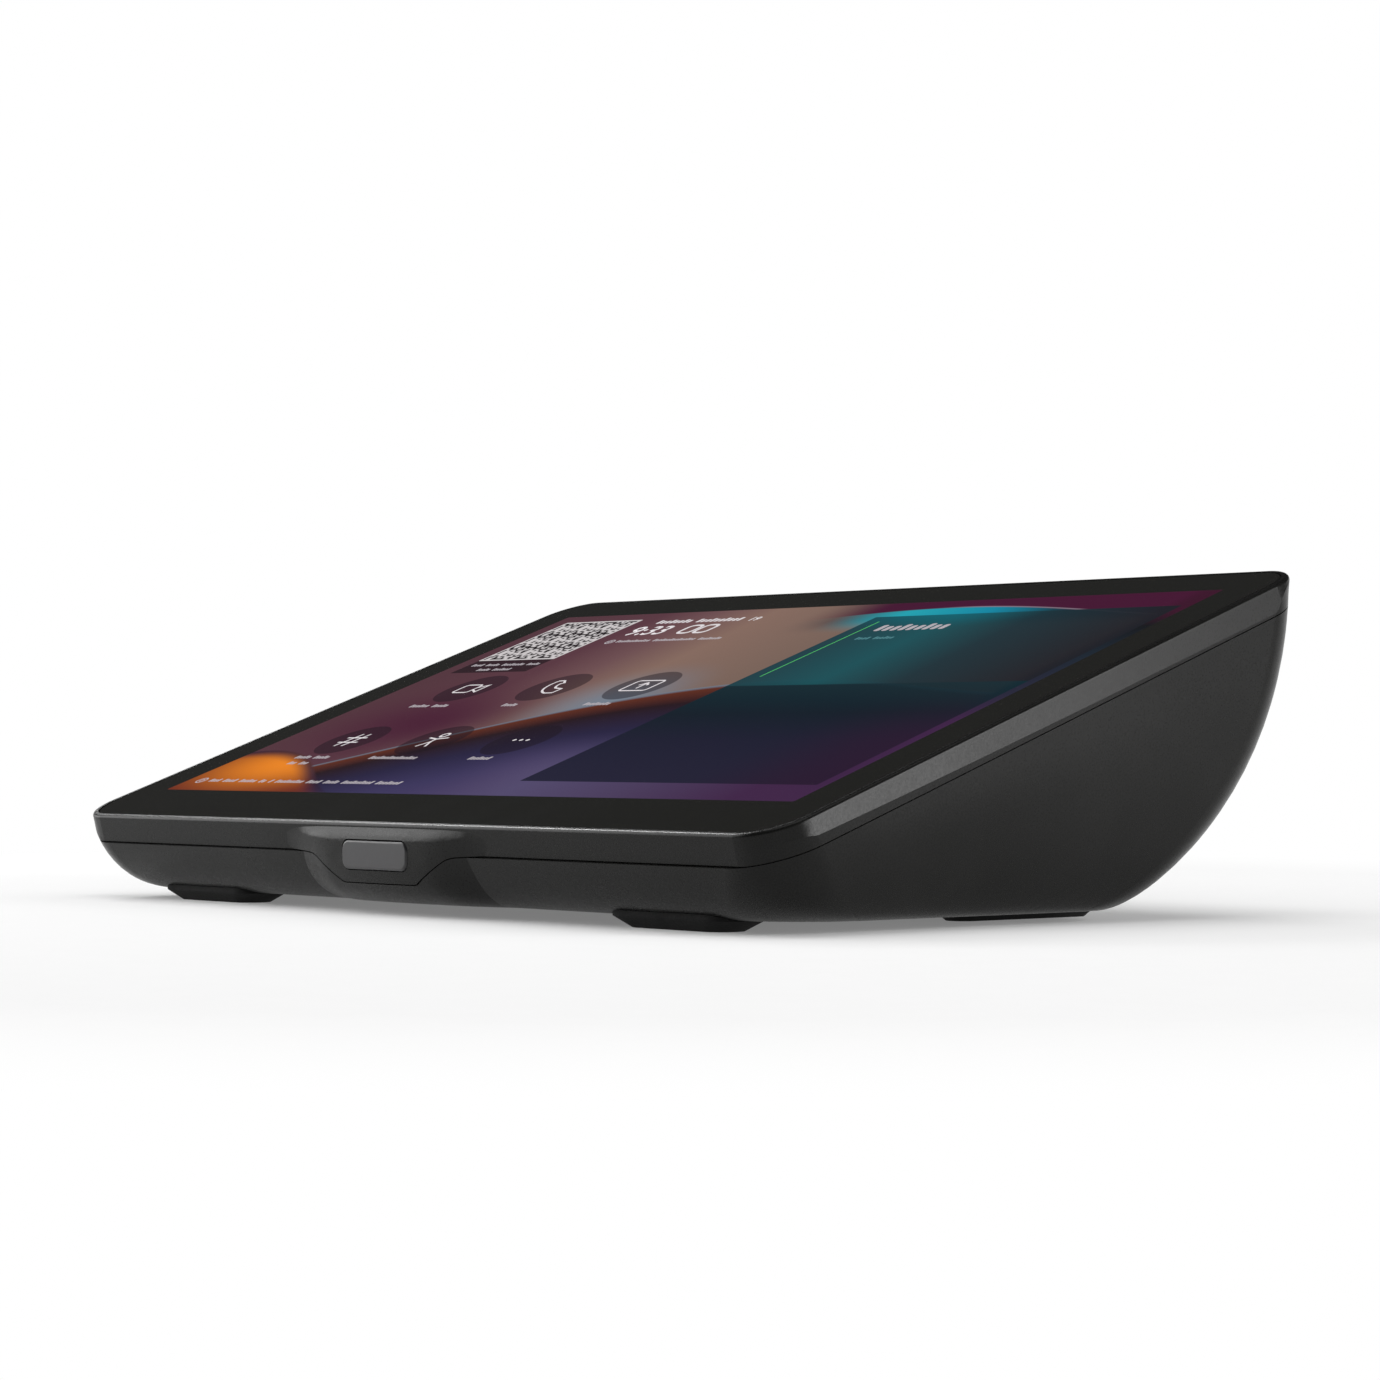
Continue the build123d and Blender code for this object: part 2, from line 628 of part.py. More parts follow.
def foot(x, y, length, width, turn, end_taper, outer):
    """Rubber foot with sloping sides and ends, whose upper face follows the curved underside."""
    with BuildPart() as pad:
        with BuildSketch(Plane.XY.offset(FLOOR_GAP)):
            with Locations((x, y)):
                SlotOverall(length, width, rotation=turn)
        extrude(amount=FOOT_RISE)
        add(outer, mode=Mode.SUBTRACT)
        with BuildSketch(Plane.XY.offset(FLOOR_GAP)):
            with Locations((x, y)):
                SlotOverall(length, width, rotation=turn)
        extrude(amount=FOOT_SEAT)
        with BuildSketch():
            with Locations((x, y)):
                SlotOverall(length - 2 * end_taper, width - 2 * FOOT_TAPER, rotation=turn)
        with BuildSketch(Plane.XY.offset(FLOOR_GAP)):
            with Locations((x, y)):
                SlotOverall(length, width, rotation=turn)
        loft()
    return pad.part


def cover_glass():
    """Flush glass over the whole top, with a small chamfer round it."""
    inset = 2 * (LIP + GLASS_FIT)
    with BuildPart() as pane:
        add(sheet(TOP.offset(-GLASS_DROP), RIM_MIDDLE, WIDTH - inset, TOP_LENGTH - inset, GLASS,
                  CORNER - LIP - GLASS_FIT))
        chamfer(pane.faces().sort_by(Axis.Z)[-1].edges(), 0.25)
    return pane.part


def glass_tape():
    """Adhesive frame between the glass and the ledge."""
    inset = 2 * (LIP + 4 * GLASS_FIT)
    with BuildPart() as frame:
        width, length = WIDTH - inset, TOP_LENGTH - inset
        add(sheet(TOP.offset(TAPE_TOP), RIM_MIDDLE, width, length, TAPE, CORNER - LIP))
        with BuildSketch(TOP.offset(TAPE_TOP)):
            with Locations((0, PANEL_MIDDLE)):
                Rectangle(PANEL_WIDTH + 2 * DISPLAY_FIT, PANEL_LENGTH + 2 * DISPLAY_FIT)
        extrude(amount=-TAPE, mode=Mode.SUBTRACT)
    return frame.part


def display_bracket():
    """Sheet-steel plate behind the display, eared to the upper housing and legged to the lower."""
    middle, length = between(BRACKET_WINDOW_FRONT, RIM_MIDDLE + BRACKET_WINDOW_BACK)
    with BuildPart() as bracket:
        with BuildSketch(TOP.offset(TRAY_BOTTOM)):
            with Locations((0, PANEL_MIDDLE)):
                Rectangle(PANEL_WIDTH - 6, PANEL_LENGTH - 10)
            for x, along in BOSS_PLACES:
                ear = BOSS_X + BOSS / 2 - 0.5
                with Locations((0, along)):
                    RectangleRounded(2 * ear, 9, 2)
            with Locations(*BOSS_PLACES):
                Circle(SMALL_SCREW / 2 + 0.2, mode=Mode.SUBTRACT)
            with Locations((-BRACKET_WINDOW_X, middle), (BRACKET_WINDOW_X, middle)):
                RectangleRounded(BRACKET_WINDOW_WIDTH, length, 6, mode=Mode.SUBTRACT)
        extrude(amount=-BRACKET)
        for x, y in PILLARS:
            top = pillar_top(y)
            block((x - LEG_WIDTH / 2, x + LEG_WIDTH / 2), (y - LEG_LENGTH / 2, y + LEG_LENGTH / 2),
                  (top, top + BRACKET))
            back = y + LEG_LENGTH / 2
            block((x - LEG_WIDTH / 2, x + LEG_WIDTH / 2), (back - BRACKET, back),
                  (top, height_under(BRACKET_BOTTOM + BRACKET / 2, back - BRACKET / 2)))
            rod(x, y, top + BRACKET, top + BRACKET + NUT_HEIGHT, NUT)
            rod(x, y, top - 1, top + BRACKET + NUT_HEIGHT + 1, SCREW + 2 * SCREW_FIT, Mode.SUBTRACT)
        with BuildSketch(TOP.offset(BRACKET_BOTTOM)):
            with Locations((-STANDOFF_X, TOUCH_BOARD_MIDDLE), (STANDOFF_X, TOUCH_BOARD_MIDDLE)):
                Circle(2.2)
                Circle(SMALL_SCREW / 2 + SCREW_FIT, mode=Mode.SUBTRACT)
        extrude(amount=-STANDOFF)
    return bracket.part


def touch_board():
    """Controller of the touch sensor, hung on two standoffs under the bracket."""
    with BuildPart() as board:
        add(sheet(TOP.offset(BRACKET_BOTTOM - STANDOFF), TOUCH_BOARD_MIDDLE, TOUCH_BOARD_WIDTH,
                  TOUCH_BOARD_LENGTH, TOUCH_BOARD, 1))
        with BuildSketch(TOP.offset(BRACKET_BOTTOM - STANDOFF)):
            with Locations((-STANDOFF_X, TOUCH_BOARD_MIDDLE), (STANDOFF_X, TOUCH_BOARD_MIDDLE)):
                Circle(SMALL_SCREW / 2 + 0.2)
        extrude(amount=-TOUCH_BOARD, mode=Mode.SUBTRACT)
        with BuildSketch(TOP.offset(BRACKET_BOTTOM - STANDOFF - TOUCH_BOARD)):
            with Locations((0, TOUCH_BOARD_MIDDLE)):
                Rectangle(7, 7)
        extrude(amount=-0.9)
    return board.part


def main_board():
    """Processor and power board on four bosses of the lower housing."""
    with BuildPart() as board:
        with BuildSketch(Plane.XY.offset(BOARD_Z)):
            with Locations((0, BOARD_MIDDLE_Y)):
                RectangleRounded(BOARD_WIDTH, BOARD_LENGTH, 3)
            with Locations(*BOARD_HOLES):
                Circle(SCREW / 2 + 0.2, mode=Mode.SUBTRACT)
            with Locations(*SPREADER_HOLES):
                Circle(SMALL_SCREW / 2 + 0.1, mode=Mode.SUBTRACT)
        extrude(amount=BOARD)
        for x, y, width, length, height in CHIPS:
            block((x - width / 2, x + width / 2), (y - length / 2, y + length / 2),
                  (BOARD_TOP, BOARD_TOP + height))
    return board.part


def heat_spreader():
    """Aluminium plate with low fins over the processor, on four short legs."""
    low = BOARD_TOP + CHIP_HEIGHT + PAD
    with BuildPart() as spreader:
        with BuildSketch(Plane.XY.offset(low)):
            with Locations((CHIP_X, CHIP_Y)):
                RectangleRounded(SPREADER_WIDTH, SPREADER_LENGTH, 3)
        extrude(amount=SPREADER)
        with BuildSketch(Plane.XY.offset(low + SPREADER)):
            with Locations((CHIP_X, CHIP_Y)):
                with GridLocations(6, 0, 10, 1):
                    Rectangle(1.2, SPREADER_LENGTH - 14)
        extrude(amount=FIN_HEIGHT)
        for x, y in SPREADER_HOLES:
            rod(x, y, BOARD_TOP, low, 5)
            rod(x, y, BOARD_TOP, low + SPREADER, SMALL_SCREW + 2 * SCREW_FIT, Mode.SUBTRACT)
    return spreader.part


def ethernet_jack():
    """Eight-way network socket with its key slot, hung under the board."""
    with BuildPart() as jack:
        block(
            (-JACK_WIDTH / 2, JACK_WIDTH / 2),
            (BAY_FRONT_Y - JACK_LENGTH, BAY_FRONT_Y),
            (BOARD_Z - JACK_HEIGHT, BOARD_Z),
        )
        block(
            (-PLUG_WIDTH / 2, PLUG_WIDTH / 2),
            (BAY_FRONT_Y - PLUG_DEPTH, BAY_FRONT_Y),
            (PLUG_TOP - PLUG_HEIGHT, PLUG_TOP),
            Mode.SUBTRACT,
        )
        block(
            (-KEY_WIDTH / 2, KEY_WIDTH / 2),
            (BAY_FRONT_Y - PLUG_DEPTH, BAY_FRONT_Y),
            (PLUG_TOP - PLUG_HEIGHT - KEY_HEIGHT, PLUG_TOP - PLUG_HEIGHT),
            Mode.SUBTRACT,
        )
    return jack.part


def jack_contacts():
    """Eight sprung wires that slope down from the socket's roof."""
    with BuildPart() as wire:
        with BuildSketch(Plane.YZ):
            with BuildLine():
                Polyline(
                    (BAY_FRONT_Y - PLUG_DEPTH + 0.3, PLUG_TOP - 2.2),
                    (BAY_FRONT_Y - 3.2, PLUG_TOP - 0.25),
                )
            trace(line_width=0.3)
        extrude(amount=0.2, both=True)
    with BuildPart() as row:
        for place in range(CONTACTS):
            with Locations(((place - (CONTACTS - 1) / 2) * CONTACT_PITCH, 0, 0)):
                add(wire.part)
    return row.part


def sensor_window():
    """Lens of the motion sensor, held from behind by its flange."""
    with BuildPart() as lens:
        with BuildSketch(facing(NOSE_Y - LENS_PROUD)):
            with Locations((0, WINDOW_Z)):
                RectangleRounded(WINDOW_WIDTH, WINDOW_HEIGHT, WINDOW_ROUND)
        extrude(amount=-WINDOW_FACE - LENS_PROUD)
        fillet(lens.faces().sort_by(Axis.Y)[0].edges(), 0.6)
        with BuildSketch(facing(NOSE_Y + WINDOW_FACE)):
            with Locations((0, WINDOW_Z)):
                Rectangle(WINDOW_WIDTH + 2 * FLANGE_LAP, WINDOW_HEIGHT + 2 * FLANGE_LAP)
        extrude(amount=-WINDOW_FLANGE)
    return lens.part


def sensor_board():
    """Small upright board staked to the two posts behind the nose."""
    with BuildPart() as board:
        with BuildSketch(facing(SENSOR_BOARD_Y)):
            with Locations((0, WINDOW_Z)):
                Rectangle(SENSOR_BOARD_WIDTH, SENSOR_BOARD_HEIGHT)
            with Locations((-SENSOR_POST_X, WINDOW_Z), (SENSOR_POST_X, WINDOW_Z)):
                Circle(0.8, mode=Mode.SUBTRACT)
        extrude(amount=-SENSOR_BOARD)
    return board.part


def motion_sensor():
    """Metal can with a window slit in its face."""
    with BuildPart() as can:
        with BuildSketch(facing(SENSOR_BOARD_Y)):
            with Locations((0, WINDOW_Z)):
                Circle(SENSOR_CAN / 2)
        extrude(amount=SENSOR_CAN_HEIGHT)
        with BuildSketch(facing(SENSOR_BOARD_Y - SENSOR_CAN_HEIGHT)):
            with Locations((0, WINDOW_Z)):
                Rectangle(3, 2)
        extrude(amount=-0.3, mode=Mode.SUBTRACT)
    return can.part


def reset_switch():
    """Push switch under the board with a bore for the button's stem."""
    with BuildPart() as switch:
        block(
            (BUTTON_X - SWITCH / 2, BUTTON_X + SWITCH / 2),
            (SWITCH_FACE_Y - SWITCH_DEPTH, SWITCH_FACE_Y),
            (BUTTON_Z - SWITCH / 2, BOARD_Z),
        )
        with BuildSketch(facing(SWITCH_FACE_Y)):
            with Locations((BUTTON_X, BUTTON_Z)):
                Circle(1.3)
        extrude(amount=3, mode=Mode.SUBTRACT)
    return switch.part


def reset_button():
    """Plunger through the bay's front wall, flanged behind it."""
    with BuildPart() as button:
        with BuildSketch(facing(BAY_FRONT_Y + 0.4)):
            with Locations((BUTTON_X, BUTTON_Z)):
                Circle(BUTTON / 2)
        extrude(amount=BAY_WALL + 0.6)
        fillet(button.faces().sort_by(Axis.Y)[-1].edges(), 0.4)
        with BuildSketch(facing(BUTTON_WALL_Y - 0.2)):
            with Locations((BUTTON_X, BUTTON_Z)):
                Circle(BUTTON_FLANGE / 2)
        extrude(amount=0.8)
        with BuildSketch(facing(BUTTON_WALL_Y - 1)):
            with Locations((BUTTON_X, BUTTON_Z)):
                Circle(1.0)
        extrude(amount=5.4)
    return button.part


def cable_cover():
    """Sliding cover of the bay, with side tongues and finger grooves."""
    half = BAY_WIDTH / 2 - COVER_FIT
    with BuildPart() as cover:
        block(
            (-half, half),
            (BAY_FRONT_Y + COVER_FIT, BAY_BACK_Y + COVER_OVERRUN),
            (FLOOR_GAP, COVER_TOP),
        )
        block(
            (-half - COVER_TONGUE, half + COVER_TONGUE),
            (BAY_FRONT_Y + COVER_FIT, BAY_BACK_Y - COVER_FIT),
            (COVER_TOP - COVER_TONGUE_HEIGHT, COVER_TOP),
        )
        with BuildSketch(Plane.XY.offset(FLOOR_GAP)):
            with Locations((0, BAY_FRONT_Y + 8)):
                with GridLocations(0, 2.4, 1, 4):
                    SlotOverall(20, 1.2)
        extrude(amount=0.6, mode=Mode.SUBTRACT)
    return cover.part


def capacitors():
    """Three upright power capacitors with rounded tops."""
    with BuildPart() as cans:
        for y in (2.0, 12.0, 22.0):
            rod(CAPACITOR_X, y, BOARD_TOP, BOARD_TOP + CAPACITOR_HEIGHT, CAPACITOR)
        fillet(cans.faces().filter_by(Plane.XY).group_by(Axis.Z)[-1].edges(), 0.7)
    return cans.part


def transformer():
    """Isolating transformer of the network power supply."""
    with BuildPart() as core:
        for x, y, low, high in ((13, 11, 0, 4), (9, 13, 0.8, 9.6), (13, 11, 6.4, 10.4)):
            block(
                (TRANSFORMER_X - x / 2, TRANSFORMER_X + x / 2),
                (TRANSFORMER_Y - y / 2, TRANSFORMER_Y + y / 2),
                (BOARD_TOP + low, BOARD_TOP + high),
            )
    return core.part


def flat_box(x, y, low, high, width, length):
    """Plain box on the main board."""
    with BuildPart() as box:
        block((x - width / 2, x + width / 2), (y - length / 2, y + length / 2), (low, high))
    return box.part


def sockets():
    """Connectors of the three ribbons on the main board."""
    with BuildPart() as group:
        block((24, 40), (-8.5, -4.5), (BOARD_TOP, BOARD_TOP + SOCKET_HEIGHT))
        block((-9, 9), (26, 30), (BOARD_TOP, BOARD_TOP + SOCKET_HEIGHT))
        block((-20, -10), (BOARD_FRONT_Y + 0.5, BOARD_FRONT_Y + 2.9), (BOARD_Z - SOCKET_HEIGHT, BOARD_Z))
    return group.part


def over(y, normal):
    """Point of a sheet along the glass's normal, over a point of the desk, as depth and height."""
    return y, height_under(normal, y)


def write(part, name):
    """Labels a finished piece and writes its file."""
    part.label = name
    export_step(part, f"parts/{name}.step")


def main():
    """Builds every piece and writes one file for each."""
    os.makedirs("parts", exist_ok=True)
    outer = body()
    write(upper_housing(outer, hull(WALL, FLOOR)), "upper_housing")
    write(lower_housing(outer, hull(WALL, FLOOR, True)), "lower_housing")
    write(cover_glass(), "cover_glass")
    write(glass_tape(), "glass_tape")
    write(sheet(TOP.offset(TAPE_TOP), PANEL_MIDDLE, PANEL_WIDTH, PANEL_LENGTH, TAPE), "touch_sensor")
    write(sheet(TOP.offset(TAPE_BOTTOM), PANEL_MIDDLE, PANEL_WIDTH, PANEL_LENGTH, PANEL), "lcd_panel")
    tray = sheet(TOP.offset(PANEL_BOTTOM), PANEL_MIDDLE, PANEL_WIDTH, PANEL_LENGTH, TRAY, 1)
    write(tray, "backlight_tray")
    write(display_bracket(), "display_bracket")
    under_bracket = TOP.offset(BRACKET_BOTTOM).rotated((180, 0, 0))
    flipped = [(x, -y) for x, y in BOSS_PLACES]
    write(screws(under_bracket, flipped, SMALL_SCREW, 3.4, 4.2, 1.4), "bracket_screws")
    write(touch_board(), "touch_board")
    under_touch = TOP.offset(BRACKET_BOTTOM - STANDOFF - TOUCH_BOARD).rotated((180, 0, 0))
    standoffs = [(-STANDOFF_X, -TOUCH_BOARD_MIDDLE), (STANDOFF_X, -TOUCH_BOARD_MIDDLE)]
    write(screws(under_touch, standoffs, SMALL_SCREW, 3.2, 3.8, 1.2), "touch_screws")
    write(main_board(), "main_board")
    write(screws(Plane.XY.offset(BOARD_TOP), BOARD_HOLES, SCREW, 8, 5.6, 2.0), "board_screws")
    spreader_low = BOARD_TOP + CHIP_HEIGHT + PAD
    spreader_top = spreader_low + SPREADER
    on_spreader = Plane.XY.offset(spreader_top)
    write(screws(on_spreader, SPREADER_HOLES, SMALL_SCREW, 5.6, 3.8, 1.2), "spreader_screws")
    write(flat_box(CHIP_X, CHIP_Y, BOARD_TOP, BOARD_TOP + CHIP_HEIGHT, CHIP, CHIP), "processor")
    write(flat_box(CHIP_X, CHIP_Y, BOARD_TOP + CHIP_HEIGHT, spreader_low, CHIP, CHIP), "thermal_pad")
    write(heat_spreader(), "heat_spreader")
    write(transformer(), "poe_transformer")
    write(capacitors(), "board_capacitors")
    write(sockets(), "ribbon_sockets")
    write(ethernet_jack(), "ethernet_jack")
    write(jack_contacts(), "jack_contacts")
    write(reset_switch(), "reset_switch")
    write(reset_button(), "reset_button")
    write(sensor_window(), "sensor_window")
    write(sensor_board(), "sensor_board")
    write(motion_sensor(), "motion_sensor")
    write(cable_cover(), "cable_cover")
    for name, side in (("left", -1), ("right", 1)):
        x = side * FRONT_FOOT_X
        front = foot(x, FRONT_FOOT_Y, FRONT_FOOT_LENGTH, FRONT_FOOT_WIDTH, 0, 5, outer)
        write(front, f"front_foot_{name}")
        x = side * REAR_FOOT_X
        rear = foot(x, REAR_FOOT_Y, REAR_FOOT_LENGTH, REAR_FOOT_WIDTH, 90, 3, outer)
        write(rear, f"rear_foot_{name}")
    with BuildPart() as housing_screws:
        for x, y in PILLARS:
            seat = pillar_top(y) - PILLAR_SEAT
            rod(x, y, seat - 2.2, seat, 2 * SCREW - 0.4)
            rod(x, y, seat, pillar_top(y) + BRACKET + NUT_HEIGHT - 0.4, SCREW)
            rod(x, y, seat - 2.2, seat - 1, 2.4, Mode.SUBTRACT)
    write(housing_screws.part, "housing_screws")
    ribbons()


def ribbons():
    """Flat flexes between the display, the sensors and the main board."""
    board_n = BRACKET_BOTTOM - STANDOFF - TOUCH_BOARD / 2
    tail = PANEL_BACK + RIBBON / 2
    down = [(tail, TAPE_TOP), (tail, board_n), (TOUCH_BOARD_MIDDLE + TOUCH_BOARD_LENGTH / 2, board_n)]
    write(ribbon(SIDE, down, 16, 0), "touch_ribbon")
    start = SIDE.from_local_coords((TOUCH_BOARD_MIDDLE - TOUCH_BOARD_LENGTH / 2, board_n, 0))
    bend = BOARD_BACK_Y + 2
    control = [
        (start.Y, start.Z),
        (start.Y - 6, start.Z - 3),
        (bend, BOARD_TOP + 8),
        (bend, BOARD_TOP + 1),
        (bend - 3, BOARD_TOP + 1),
    ]
    write(ribbon(Plane.YZ, control, 14, 0), "control_ribbon")
    picture = [
        over(20, TRAY_BOTTOM - RIBBON / 2),
        (20, 36),
        (4, 31),
        (-6.5, BOARD_TOP + 6),
        (-6.5, BOARD_TOP + SOCKET_HEIGHT),
    ]
    write(ribbon(Plane.YZ, picture, 12, 32), "display_ribbon")
    back = SENSOR_BOARD_Y + SENSOR_BOARD
    low = FLOOR + 1.6
    rise = BOARD_FRONT_Y - 3
    plug = BOARD_Z - SOCKET_HEIGHT / 2
    sensor = [
        (back, WINDOW_Z - 2),
        (back + 3, WINDOW_Z - 2),
        (back + 3, low),
        (rise, low),
        (rise, plug),
        (BOARD_FRONT_Y + 0.5, plug),
    ]
    write(ribbon(Plane.YZ, sensor, 7, -15), "sensor_ribbon")


main()
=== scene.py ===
"""Finishes, lit display, studio and camera of a tilted table-top touch console.

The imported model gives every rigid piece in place. This script dresses each of them, adds the
lit symbols of the display, and sets up the studio and the camera. All lengths are in metres.
"""

import json
import logging
from dataclasses import dataclass
from enum import Enum
from math import cos, pi, radians, sin
from typing import Any, Mapping, Optional, Sequence, Union

import bmesh
import bpy
from mathutils import Matrix, Vector


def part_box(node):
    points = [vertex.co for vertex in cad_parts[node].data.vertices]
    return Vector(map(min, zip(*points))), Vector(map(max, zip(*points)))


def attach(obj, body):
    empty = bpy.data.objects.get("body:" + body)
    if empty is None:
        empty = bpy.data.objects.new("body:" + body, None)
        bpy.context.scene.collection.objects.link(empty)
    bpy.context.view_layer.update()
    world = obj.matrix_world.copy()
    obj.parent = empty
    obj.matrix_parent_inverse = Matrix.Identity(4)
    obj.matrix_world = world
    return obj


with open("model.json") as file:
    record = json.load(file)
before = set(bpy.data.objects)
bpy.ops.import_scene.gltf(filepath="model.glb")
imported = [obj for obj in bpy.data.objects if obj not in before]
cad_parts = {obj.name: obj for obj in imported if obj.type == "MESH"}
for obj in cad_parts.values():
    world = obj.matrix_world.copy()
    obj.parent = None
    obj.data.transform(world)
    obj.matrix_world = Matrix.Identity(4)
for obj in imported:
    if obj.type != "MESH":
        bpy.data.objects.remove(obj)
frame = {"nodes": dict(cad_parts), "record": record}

log = logging.getLogger("console")

Colour = tuple[float, float, float, float]
Point = tuple[float, float]
Number = Union["Wire", float]
MM = 0.001


def tone(code: str) -> Colour:
    """Turns a screen colour code into linear red, green, blue and alpha.

    Args:
        code: Six hexadecimal digits after a hash sign.

    Returns:
        The colour for a shader socket.
    """
    shares = [int(code[place : place + 2], 16) / 255 for place in (1, 3, 5)]
    red, green, blue = [
        share / 12.92 if share <= 0.04045 else ((share + 0.055) / 1.055) ** 2.4 for share in shares
    ]
    return red, green, blue, 1.0


def put(name: str, data: bpy.types.ID) -> bpy.types.Object:
    """Makes an object of a mesh, a lamp or a camera and adds it to the scene.

    Args:
        name: Name of the object.
        data: What it shows.

    Returns:
        The object.
    """
    item = bpy.data.objects.new(name, data)
    bpy.context.scene.collection.objects.link(item)
    return item


class Wire:
    """Value carried by a socket, with arithmetic that adds Math nodes to its graph."""

    def __init__(self, graph: "Graph", socket: bpy.types.NodeSocket) -> None:
        """Keeps the socket and the graph that it belongs to."""
        self.graph = graph
        self.socket = socket

    def _math(self, operation: str, *terms: Number) -> "Wire":
        """Adds one Math node.

        Args:
            operation: Blender's name of the operation.
            terms: Values or wires, in the node's order.

        Returns:
            The node's result.
        """
        node = self.graph.add("ShaderNodeMath", {"operation": operation}, dict(enumerate(terms)))
        return Wire(self.graph, node.outputs[0])

    def __add__(self, other: Number) -> "Wire":
        """Adds a value."""
        return self._math("ADD", self, other)

    def __radd__(self, other: float) -> "Wire":
        """Adds to a value."""
        return self._math("ADD", other, self)

    def __sub__(self, other: Number) -> "Wire":
        """Takes a value away."""
        return self._math("SUBTRACT", self, other)

    def __rsub__(self, other: float) -> "Wire":
        """Takes this away from a value."""
        return self._math("SUBTRACT", other, self)

    def __mul__(self, other: Number) -> "Wire":
        """Multiplies by a value."""
        return self._math("MULTIPLY", self, other)

    def __rmul__(self, other: float) -> "Wire":
        """Multiplies a value."""
        return self._math("MULTIPLY", other, self)

    def __truediv__(self, other: Number) -> "Wire":
        """Divides by a value."""
        return self._math("DIVIDE", self, other)

    def __rtruediv__(self, other: float) -> "Wire":
        """Divides a value."""
        return self._math("DIVIDE", other, self)

    def __pow__(self, other: Number) -> "Wire":
        """Raises to a power."""
        return self._math("POWER", self, other)

    def __rpow__(self, other: float) -> "Wire":
        """Raises a value to this power."""
        return self._math("POWER", other, self)

    def __abs__(self) -> "Wire":
        """Drops the sign."""
        return self._math("ABSOLUTE", self)

    def wave(self) -> "Wire":
        """Gives the sine."""
        return self._math("SINE", self)

    def root(self) -> "Wire":
        """Gives the square root."""
        return self._math("SQRT", self)

    def fraction(self) -> "Wire":
        """Gives what is left above the whole number."""
        return self._math("FRACT", self)

    def at_least(self, other: Number) -> "Wire":
        """Gives the larger of two values."""
        return self._math("MAXIMUM", self, other)

    def fade(self, start: float, stop: float, low: float = 0.0, high: float = 1.0) -> "Wire":
        """Goes smoothly from one level to another while this goes from start to stop.

        Args:
            start: Value of this at which the low level holds.
            stop: Value of this at which the high level holds.
            low: Result at start.
            high: Result at stop.

        Returns:
            The smooth step.
        """
        node = self.graph.add(
            "ShaderNodeMapRange",
            {"interpolation_type": "SMOOTHSTEP"},
            {0: self, 1: start, 2: stop, 3: low, 4: high},
        )
        return Wire(self.graph, node.outputs[0])


def beyond(across: Wire, along: Wire, half_width: float, half_length: float) -> Wire:
    """Gives the distance outside a rectangle about the origin, 0 inside it.

    Args:
        across: Distance across from the rectangle's middle.
        along: Distance along from it.
        half_width: Half the rectangle's width.
        half_length: Half its length.

    Returns:
        The distance.
    """
    over_width = (abs(across) - half_width).at_least(0.0)
    over_length = (abs(along) - half_length).at_least(0.0)
    return (over_width * over_width + over_length * over_length).root()


